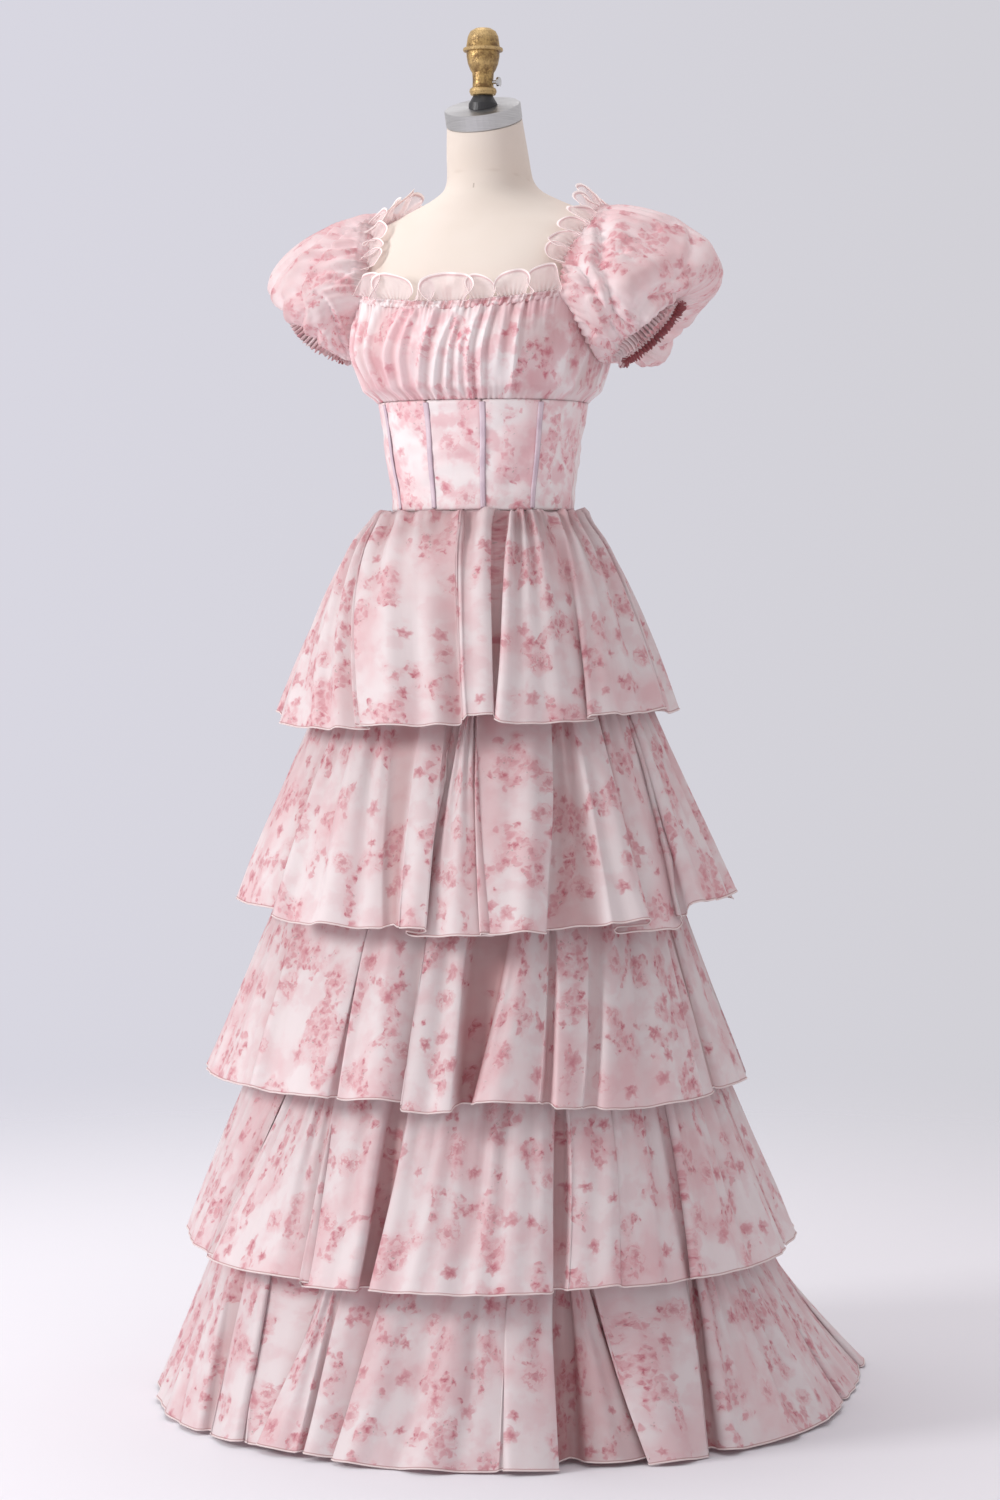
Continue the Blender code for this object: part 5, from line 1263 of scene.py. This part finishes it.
slider_paint = Finish("zip_metal", Coat_Weight=0.4)
chipped = slider_paint.noise(slider_paint.position(), 900, 3, 0.7).rise(0.62, 0.68)
slider_paint.paint(
    Base_Color=slider_paint.blend(chipped, (0.84, 0.66, 0.67), (0.62, 0.60, 0.58)),
    Metallic=chipped * 0.8,
    Roughness=0.30 + chipped * 0.15,
    Normal=slider_paint.bump(chipped, 0.0001, 0.5),
)
refinish(slider_paint, "zip_slider", "zip_pull")


# ---- Puff sleeves ----
# Each sleeve is one wide piece of printed organza, gathered into the armhole seam and on to elastic at the
# cuff, so that it stands out in a crisp puff with folds running from the shoulder down to the cuff.

# The sleeve's curve from the armhole to the cuff, at a phase round it from the shoulder to the front: the two
# handles that pull it out on its way.
Handle = namedtuple("Handle", "phase swell fall")
PUFF = (
    Handle(0, (0.195, 0.060, 1.520), (0.380, 0.055, 1.405)),
    Handle(45, (0.182, -0.050, 1.483), (0.335, -0.060, 1.365)),
    Handle(90, (0.165, -0.130, 1.400), (0.250, -0.115, 1.325)),
    Handle(135, (0.160, -0.095, 1.322), (0.207, -0.080, 1.303)),
    Handle(180, (0.162, 0.0, 1.295), (0.180, 0.0, 1.290)),
    Handle(225, (0.165, 0.105, 1.305), (0.235, 0.105, 1.272)),
    Handle(270, (0.165, 0.170, 1.415), (0.268, 0.160, 1.310)),
    Handle(315, (0.187, 0.155, 1.507), (0.350, 0.155, 1.375)),
)
CUFF_CENTRE = np.array((0.214, 0.0, 1.327))
CUFF_OUT = np.array((0.70, 0.0, -0.714)) / math.hypot(0.70, 0.714)
CUFF_UP = np.array((-CUFF_OUT[2], 0.0, CUFF_OUT[0]))
CUFF_REACH = (0.050, 0.043)  # half its height and half its width
CUFF_DEPTH = 0.010


def round_table(rows, phases):
    """Every number of a table's row, at any phase in degrees, for a table that closes on itself."""
    wrapped = [(rows[-1][0] - 360, *rows[-1][1:]), *rows, (rows[0][0] + 360, *rows[0][1:])]
    return smooth_between(wrapped, np.asarray(phases, float) % 360)


def armhole_point(phases, gap=SEAM):
    """Points of the seam round an armhole, on the left of the dress."""
    row = round_table(ARMHOLE, phases)
    return bodice_point(row[..., 0], row[..., 1], gap)


def cuff_point(phases, spread_by=0.0, along=0.0):
    """Points round the cuff, spread_by metres outside its elastic and along metres down the arm."""
    phases, spread_by, along = (value[..., None] for value in np.broadcast_arrays(phases, spread_by, along))
    turn = np.radians(phases)
    high, wide = CUFF_REACH[0] + spread_by, CUFF_REACH[1] + spread_by
    return CUFF_CENTRE + CUFF_UP * high * np.cos(turn) - (0, 1, 0) * wide * np.sin(turn) + CUFF_OUT * along


def puff_point(phases, shares):
    """Points of a smooth puff, shares of the way from the armhole to the cuff."""
    handles = round_table([(row.phase, *row.swell, *row.fall) for row in PUFF], phases)
    s = np.asarray(shares)[..., None]
    start, end = armhole_point(phases), cuff_point(phases)
    near, far = handles[..., :3], handles[..., 3:]
    return (1 - s) ** 3 * start + 3 * s * (1 - s) ** 2 * near + 3 * s**2 * (1 - s) * far + s**3 * end


# A crisp fold: its crest's height in mm, how wide its sharp and soft sides are in mm, and the way it runs, in
# (phase, share) from its start. The sharp side is on the left of that way, seen from outside.
Fold = namedtuple("Fold", "height sharp soft way")
FOLD_CRISPNESS = 1.2  # how much higher a crest stands than its fold's height
WAY_STEPS = 40
HIDDEN_SLEEVE_FOLDS = (
    Fold(6.0, 4.0, 9.0, ((172, 0.03), (176, 0.40), (170, 0.90))),
    Fold(6.0, 4.0, 9.0, ((204, 0.03), (210, 0.30), (206, 0.60), (212, 0.95))),
    Fold(8.2, 3.5, 10.0, ((236, 0.03), (244, 0.25), (262, 0.50), (258, 0.75), (244, 0.95))),
    Fold(5.2, 2.5, 7.0, ((258, 0.03), (268, 0.22), (284, 0.42))),
    Fold(7.5, 4.0, 10.0, ((282, 0.03), (290, 0.28), (286, 0.55), (272, 0.80), (270, 0.96))),
    Fold(6.8, 3.5, 10.0, ((310, 0.03), (304, 0.25), (312, 0.50), (318, 0.72))),
    Fold(6.8, 5.0, 12.0, ((334, 0.03), (330, 0.30), (340, 0.58), (330, 0.82))),
)
SLEEVE_FOLDS = {
    "right": (
        Fold(7.5, 4.0, 9.0, ((40, 0.85), (43, 0.65), (38, 0.38), (24, 0.28), (12, 0.02))),
        Fold(10.5, 4.0, 11.0, (
            (15, 0.02), (22, 0.09), (46, 0.24), (62, 0.35), (74, 0.48), (98, 0.58), (104, 0.84), (106, 0.97),
        )),
        Fold(6.8, 2.2, 7.0, (
            (84, 0.38), (90, 0.34), (101, 0.29), (117, 0.25), (134, 0.22), (153, 0.25), (162, 0.41),
        )),
        Fold(4.5, 3.0, 8.0, ((70, 0.04), (78, 0.15), (84, 0.24))),
        Fold(5.2, 3.0, 8.0, ((118, 0.45), (124, 0.66), (120, 0.95))),
        Fold(6.0, 5.0, 12.0, ((70, 0.62), (74, 0.78), (72, 0.96))),
    ),
    "left": (
        Fold(9.8, 3.5, 11.0, (
            (24, 0.02), (40, 0.12), (60, 0.24), (72, 0.30), (80, 0.42), (90, 0.53), (102, 0.62), (101, 0.75),
            (90, 0.86),
        )),
        Fold(7.5, 3.0, 8.0, ((92, 0.86), (78, 0.76), (66, 0.75), (48, 0.86), (30, 0.95))),
        Fold(6.8, 3.0, 8.0, ((72, 0.05), (81, 0.24), (94, 0.38), (103, 0.52), (116, 0.64), (122, 0.85))),
        Fold(9.0, 12.0, 12.0, ((30, 0.70), (52, 0.69), (70, 0.69), (92, 0.72))),
        Fold(5.2, 4.0, 10.0, ((350, 0.20), (4, 0.44), (20, 0.57), (33, 0.67), (29, 0.91))),
        Fold(5.2, 4.0, 8.0, ((130, 0.10), (136, 0.35), (142, 0.60), (138, 0.92))),
    ),
}
RIDES_UP = {"right": 0.019, "left": 0.009}  # how far a sleeve is pulled up from its puff's curve, at the cuff
SAGS = {"right": 0.2, "left": 1.0}  # how much a sleeve's front sags over its cuff
SLEEVE_WIDTH = 0.86  # of the flat piece, round the arm
SLEEVE_LENGTH = 0.23
SLEEVE_COLUMNS = 320
SHIRRED_ROWS = (0.004, 0.0105, 0.017)  # rows of elastic over the shoulder, from the armhole down


def way_points(way, at):
    """A smooth path through a fold's points, at values from 0 to 1 along it."""
    keys = np.linspace(0, 1, len(way))
    return smooth_between([(key, *point) for key, point in zip(keys, way)], at)


def fold_lift(points, normals, fold, place_on):
    """How far one fold lifts each point of a cloth. place_on gives the crest's points from its way."""
    crest = place_on(*np.moveaxis(way_points(fold.way, np.linspace(0, 1, WAY_STEPS + 1)), -1, 0))
    away = points[..., None, :] - crest
    near = np.argmin((away**2).sum(-1), -1)
    heading = np.gradient(crest, axis=0)[near]
    offset = np.take_along_axis(away, near[..., None, None], -2)[..., 0, :]
    left = np.sign((np.cross(normals, heading) * offset).sum(-1))
    distance = np.linalg.norm(offset, axis=-1) * 1000
    side = np.where(left > 0, fold.sharp, fold.soft)
    ridge = np.clip(1 - distance / (2.5 * side), 0, 1) ** 1.8 - 0.18 * bell(distance, 2.4 * side, side)
    along = near / WAY_STEPS
    ends = (ramp(along, 0, 0.15) * ramp(1 - along, 0, 0.15)) ** 0.7
    return FOLD_CRISPNESS * fold.height / 1000 * ridge * ends


sleeve_organza = printed_cloth("sleeve_organza", 0.38, flush=0.05)
# Painted light: a faint pink glow stands for the light that comes through the puff from behind.
sleeve_organza.paint(Emission_Color=(1.0, 0.88, 0.91), Emission_Strength=0.10)
phases = np.linspace(0, 360, SLEEVE_COLUMNS + 1)[:-1]
near_armhole, near_cuff = np.linspace(0, 0.16, 14)[:-1], np.linspace(0.80, 1, 15)
shares = np.concatenate([near_armhole, np.linspace(0.16, 0.80, 34)[:-1], near_cuff])
for name, way in (("right", -1), ("left", 1)):
    smooth = puff_point(phases, shares[:, None])
    normals = outward(smooth, True)
    s = shares[:, None]
    folds = (*SLEEVE_FOLDS[name], *HIDDEN_SLEEVE_FOLDS)
    lift = sum(fold_lift(smooth, normals, fold, puff_point) for fold in folds)
    turns = phases[None, :] / 360
    seed = 200 + way
    over_shoulder = np.clip(np.cos(np.radians(phases)) * 1.6 + 0.3, 0, 1)
    down_sleeve = lengths_along(smooth, 0)
    past_band = ramp(down_sleeve, 0.016 * over_shoulder, 0.010)
    lift = lift * past_band * ramp(1 - s, 0, 0.03)
    # Gathers that fan out from the armhole, and two sets that run into the cuff.
    lift = lift + 0.0019 * ripples(turns, 44, 0.25, seed) * past_band * np.exp(-s / 0.26)
    lift = lift + 0.0018 * ripples(turns, 60, 0.08, seed + 1) * np.exp(-(1 - s) / 0.035)
    lift = lift + 0.0016 * ripples(turns, 38, 0.25, seed + 2) * np.exp(-(1 - s) / 0.09) * ramp(1 - s, 0, 0.04)
    # Shirring over the shoulder: fine tucks, drawn in along each row of elastic.
    drawn = sum(bell(down_sleeve, row, 0.0020) for row in SHIRRED_ROWS)
    tucks = ripples(turns, 72, 0.08, seed + 3) * np.exp(-((down_sleeve / 0.022) ** 4))
    full = np.exp(-((down_sleeve / 0.018) ** 4))
    lift = lift + over_shoulder * (0.0032 * tucks + 0.0012 * full - 0.0016 * drawn)
    lift = lift + 0.0006 * crumple(phases[None, :] * 0.0018, s * 0.2, 0.075, seed + 4) * np.sin(math.pi * s)
    between_tucks = 0.60 * over_shoulder * np.clip(-0.1 - 0.8 * tucks, 0, 1)
    shade = np.maximum(in_troughs(lift, 0.0060, 0.24), between_tucks)
    sag = 0.013 * SAGS[name] * bell(s, 0.80, 0.13) * bell(phases, 88, 24)
    points = smooth + normals * lift[..., None] + CUFF_OUT * sag[..., None]
    points[..., 2] += RIDES_UP[name] * s**1.5
    flat_round = np.linspace(0, SLEEVE_WIDTH, SLEEVE_COLUMNS + 1) + 41.3 + way
    flat = np.stack(np.broadcast_arrays(flat_round, s * SLEEVE_LENGTH + 3 * way), -1)
    # The right sleeve is the left one's mirror image, and a mirrored row runs the other way round.
    points = points * (way, 1, 1)
    if way < 0:
        points = points[:, ::-1]
    node = "sleeve_" + name
    mesh = grid_mesh(node + "_cloth", points, flat, True, layered=shade[:, ::way])
    sleeve = put(node + "_cloth", mesh, sleeve_organza, "printed_organza", node, thickness=ORGANZA_WALL)


# ---- Cuffs ----
# A narrow casing of the sleeve's cloth, drawn up tightly on flat elastic, with a short frilled edge. Its
# inside is painted a dark deep rose, standing for the shade in the cuff's opening.

CUFF_COLUMNS = 640
CUFF_GATHERS = 60
# Painted shade: the cuff's inside is a dark, mottled rose.
cuff_inside_shade = Finish("cuff_inside_painted_shade", Roughness=0.6, Sheen_Weight=0.3)
uneven_shade = cuff_inside_shade.noise(cuff_inside_shade.cloth_place(), 60, 3)
cuff_inside_shade.paint(Base_Color=cuff_inside_shade.blend(uneven_shade, (0.22, 0.035, 0.045), (0.34, 0.09, 0.10)))
for name, way in (("right", -1), ("left", 1)):
    phases = np.linspace(0, 360, CUFF_COLUMNS + 1)[:-1]
    along = np.linspace(0, 1, 9)[:, None]
    turns = phases[None, :] / 360
    spread = 0.0012 + 0.0024 * bell(along, 0, 0.22) + 0.0034 * ramp(along, 0.6, 0.4) ** 1.3
    tuck = ripples(turns, CUFF_GATHERS, 0.06, 300 + way) * (0.0014 + 0.0010 * np.abs(along - 0.45))
    fuller = 1 + 0.9 * bell(phases, 95, 45)
    reach = CUFF_DEPTH * 1.15 * along * fuller + 0.0012 * ripples(turns, CUFF_GATHERS, 0.3, 320 + way) * along
    points = cuff_point(phases, spread + tuck, reach + 0.0004) * (way, 1, 1) + (0, 0, RIDES_UP[name])
    flat_round = np.linspace(0, SLEEVE_WIDTH, CUFF_COLUMNS + 1) + 51.3
    flat = np.stack(np.broadcast_arrays(flat_round, along * 0.014), -1)
    if way < 0:
        points = points[:, ::-1]
    # Painted shade in the troughs between the cuff's tucks.
    mesh = grid_mesh(f"cuff_{name}_cloth", points, flat, True, layered=in_troughs(tuck, 0.0022)[:, ::way])
    node = "cuff_" + name
    cuff = put(node + "_cloth", mesh, cuff_inside_shade, "printed_organza", node, thickness=ORGANZA_WALL)
    # The grid's own face is the inside, which keeps the painted shade, so the outside and the rim of the wall
    # get the print.
    mesh.materials.append(sleeve_organza.material)
    cuff.modifiers["wall"].material_offset = 1
    cuff.modifiers["wall"].material_offset_rim = 1


# ---- Neckline ruffles ----
# Upright frills of a single layer of organza, sewn under the elastic edge. The free edge has a fine pale
# rolled hem and swings in and out in loose loops, so that the frill closes on itself and shows form through.

# A loop of a frill: its middle and half its width as shares of the frill's length, how far its free edge
# swings out in mm, and how tall it stands in mm.
Loop = namedtuple("Loop", "middle half out tall")
# A frill: the angle and height of each point of its sewn edge, how many degrees it leans out at its ends and
# in its middle, and how many mm its loops swing in.
Frill = namedtuple("Frill", "route lean swing_in loops")
ROUTE_POINTS = 60
FRILL_GAP = 0.0005  # from the bodice's outer face to the sewn edge
FRILL_HEIGHT = 0.028
ROUTE_LENGTH = 0.17  # of a frill's sewn edge, near enough, for the run of its loops


def neck_route(start, end):
    """A frill's sewn edge along the square neckline, or along the straight back."""
    angles = np.linspace(start, end, ROUTE_POINTS)
    front, back = NECKLINE_Z + NECKLINE_RISE * (angles / CORNER) ** 2, BACK_NECK_Z + 0 * angles
    return np.stack([angles, (front if abs(start) < 90 else back) + SEAM], -1)


def strap_route(way):
    """A frill's sewn edge along a strap, left to right as seen from outside the shoulder."""
    phases = np.linspace(75, -75, ROUTE_POINTS)
    rows = round_table([(row.phase, row.angle, row.height) for row in ARMHOLE], phases)
    rows[:, 1] += 0.0014
    return rows if way > 0 else rows[::-1] * (-1, 1)


frill_organza = printed_cloth("frill_organza", 0.06, ink=0.22)
stitched = frill_organza.mask("hem").rise(0.1, 0.5)
# Painted light: a faint glow stands for the light that the sheer frill lets through.
frill_organza.paint(Alpha=0.36 + stitched * 0.62, Emission_Color=(0.95, 0.86, 0.84), Emission_Strength=0.12)
FRILLS = {
    "ruffle_front": Frill(neck_route(-48, 48), (10, 10), 3.0, (
        Loop(0.055, 0.075, 10, 27), Loop(0.245, 0.082, 8, 27), Loop(0.405, 0.030, 5, 24),
        Loop(0.505, 0.108, 9, 30), Loop(0.680, 0.050, 9, 26), Loop(0.800, 0.058, 8, 27),
        Loop(0.945, 0.062, 8, 29),
    )),
    "ruffle_back": Frill(neck_route(133, 227), (24, 24), 3.0, (
        Loop(0.060, 0.060, 8, 28), Loop(0.215, 0.075, 9, 26), Loop(0.375, 0.060, 7, 28),
        Loop(0.520, 0.070, 9, 27), Loop(0.665, 0.060, 8, 26), Loop(0.800, 0.062, 9, 28),
        Loop(0.935, 0.060, 8, 27),
    )),
    "ruffle_left": Frill(strap_route(1), (0, -16), 5.0, (
        Loop(0.035, 0.036, 7, 26), Loop(0.118, 0.040, 8, 27), Loop(0.205, 0.034, 7, 25),
        Loop(0.285, 0.040, 9, 28), Loop(0.370, 0.034, 7, 29), Loop(0.455, 0.042, 9, 33),
        Loop(0.545, 0.038, 8, 34), Loop(0.630, 0.036, 8, 30), Loop(0.712, 0.038, 8, 29),
        Loop(0.796, 0.036, 7, 28), Loop(0.880, 0.040, 8, 27), Loop(0.962, 0.034, 7, 26),
    )),
    "ruffle_right": Frill(strap_route(-1), (0, -16), 5.0, (
        Loop(0.038, 0.036, 8, 26), Loop(0.122, 0.038, 7, 27), Loop(0.208, 0.036, 8, 28),
        Loop(0.295, 0.042, 8, 29), Loop(0.385, 0.034, 7, 31), Loop(0.468, 0.042, 9, 34),
        Loop(0.556, 0.036, 8, 33), Loop(0.640, 0.040, 9, 30), Loop(0.728, 0.036, 8, 28),
        Loop(0.812, 0.038, 8, 27), Loop(0.895, 0.036, 7, 27), Loop(0.968, 0.032, 7, 26),
    )),
}


def open_curve(controls, samples):
    """An open curve near its control points, with so many points to each stretch."""
    before, after = 2 * controls[:1] - controls[1:2], 2 * controls[-1:] - controls[-2:-1]
    count = len(controls) - 1
    stretch = np.append(np.repeat(np.arange(count), samples), count - 1)
    t = np.append(np.tile(np.arange(samples) / samples, count), 1.0)[:, None]
    return curve_near(np.concatenate([before, controls, after]), stretch, t)


# The free edge of one loop: across it in half widths, out of it (and in behind it) as shares of the swing,
# and up as shares of its height. It is narrow at the foot and wide at the top.
EdgePoint = namedtuple("EdgePoint", "across swing height")
LOOP_SHAPE = (
    EdgePoint(-0.62, 1.60, 0.04), EdgePoint(-1.45, 0.90, 0.52), EdgePoint(-1.20, -0.60, 1.10),
    EdgePoint(0.0, -1.80, 1.20), EdgePoint(1.20, -0.60, 1.06), EdgePoint(1.45, 0.90, 0.50),
    EdgePoint(0.62, 1.60, 0.00),
)


def edge_controls(frill):
    """Where the free edge goes: up behind each loop, over its top and down in front of its neighbours."""
    rows = []
    for number, loop in enumerate(frill.loops):
        skew = 0.45 * math.sin(2.6 * number + loop.tall)
        for across, swing, height in LOOP_SHAPE:
            out = swing * (loop.out if swing > 0 else frill.swing_in)
            tall = loop.tall * (height + skew * across * (0.30 if height > 0.3 else -0.22))
            rows.append((loop.middle + loop.half * (across + 0.5 * skew * height), out, tall))
    return np.array(rows)


for number, (name, frill) in enumerate(FRILLS.items()):
    edge = open_curve(edge_controls(frill), 7)
    edge_steps = np.hypot(np.diff(edge[:, 0]) * ROUTE_LENGTH, np.diff(edge[:, 1]) / 1000)
    cloth_run = np.concatenate([[0], np.cumsum(edge_steps)])
    foot = cloth_run / cloth_run[-1]
    up = np.concatenate([[1.0, 0.985, 0.960, 0.92], np.linspace(0.87, 0, 11)])[:, None]
    along = np.clip(mix(foot[None, :], edge[None, :, 0], up**1.15), 0, 1)
    route = frill.route
    base = bodice_point(route[:, 0], route[:, 1], FRILL_GAP)
    heading = unit(np.gradient(base, axis=0))
    away = unit(form_point(route[:, 0], route[:, 1], 0.01) - form_point(route[:, 0], route[:, 1]))
    away = unit(away - heading * (away * heading).sum(1, keepdims=True))
    rise = np.cross(away, heading)
    keys = np.linspace(0, 1, ROUTE_POINTS)
    lean = np.radians(mix(*frill.lean, np.sin(np.linspace(0, math.pi, ROUTE_POINTS)) ** 0.7))[:, None]
    stand, swing = rise * np.cos(lean) + away * np.sin(lean), away * np.cos(lean) - rise * np.sin(lean)
    at_foot, at_stand, at_swing = (
        smooth_between(np.concatenate([keys[:, None], rows], 1), along) for rows in (base, stand, swing)
    )
    tuck = ripples(foot[None, :], 64, 0.15, 400 + number) * np.exp(-up / 0.16) * 0.0010
    bow = 0.0012 * crumple(cloth_run[None, :], up * 0.03, 0.018, 410 + number) * up
    out = edge[None, :, 1] / 1000 * up**0.85 + tuck + bow
    tall = edge[None, :, 2] / 1000 * (up + 0.04 * np.sin(math.pi * up)) + SEAM
    points = at_foot + at_stand * tall[..., None] + at_swing * out[..., None]
    flat = np.stack(np.broadcast_arrays(cloth_run + 60 + 3 * number, up * FRILL_HEIGHT), -1)
    # The hem mask: the pale rolled cord, with a painted shadow line just under it.
    rolled = np.clip(1.3 - (1 - up) * FRILL_HEIGHT / 0.0038, 0, 1) + 0 * foot
    # Painted shade in the troughs of the frill's tucks.
    pleat_shade = np.clip(0.3 - tuck / 0.0012, 0, 1) * 0.5
    mesh = grid_mesh(name + "_cloth", points, flat, hem=rolled, layered=pleat_shade)
    piece = put(name + "_cloth", mesh, frill_organza, "printed_organza", name, thickness=0.0004)
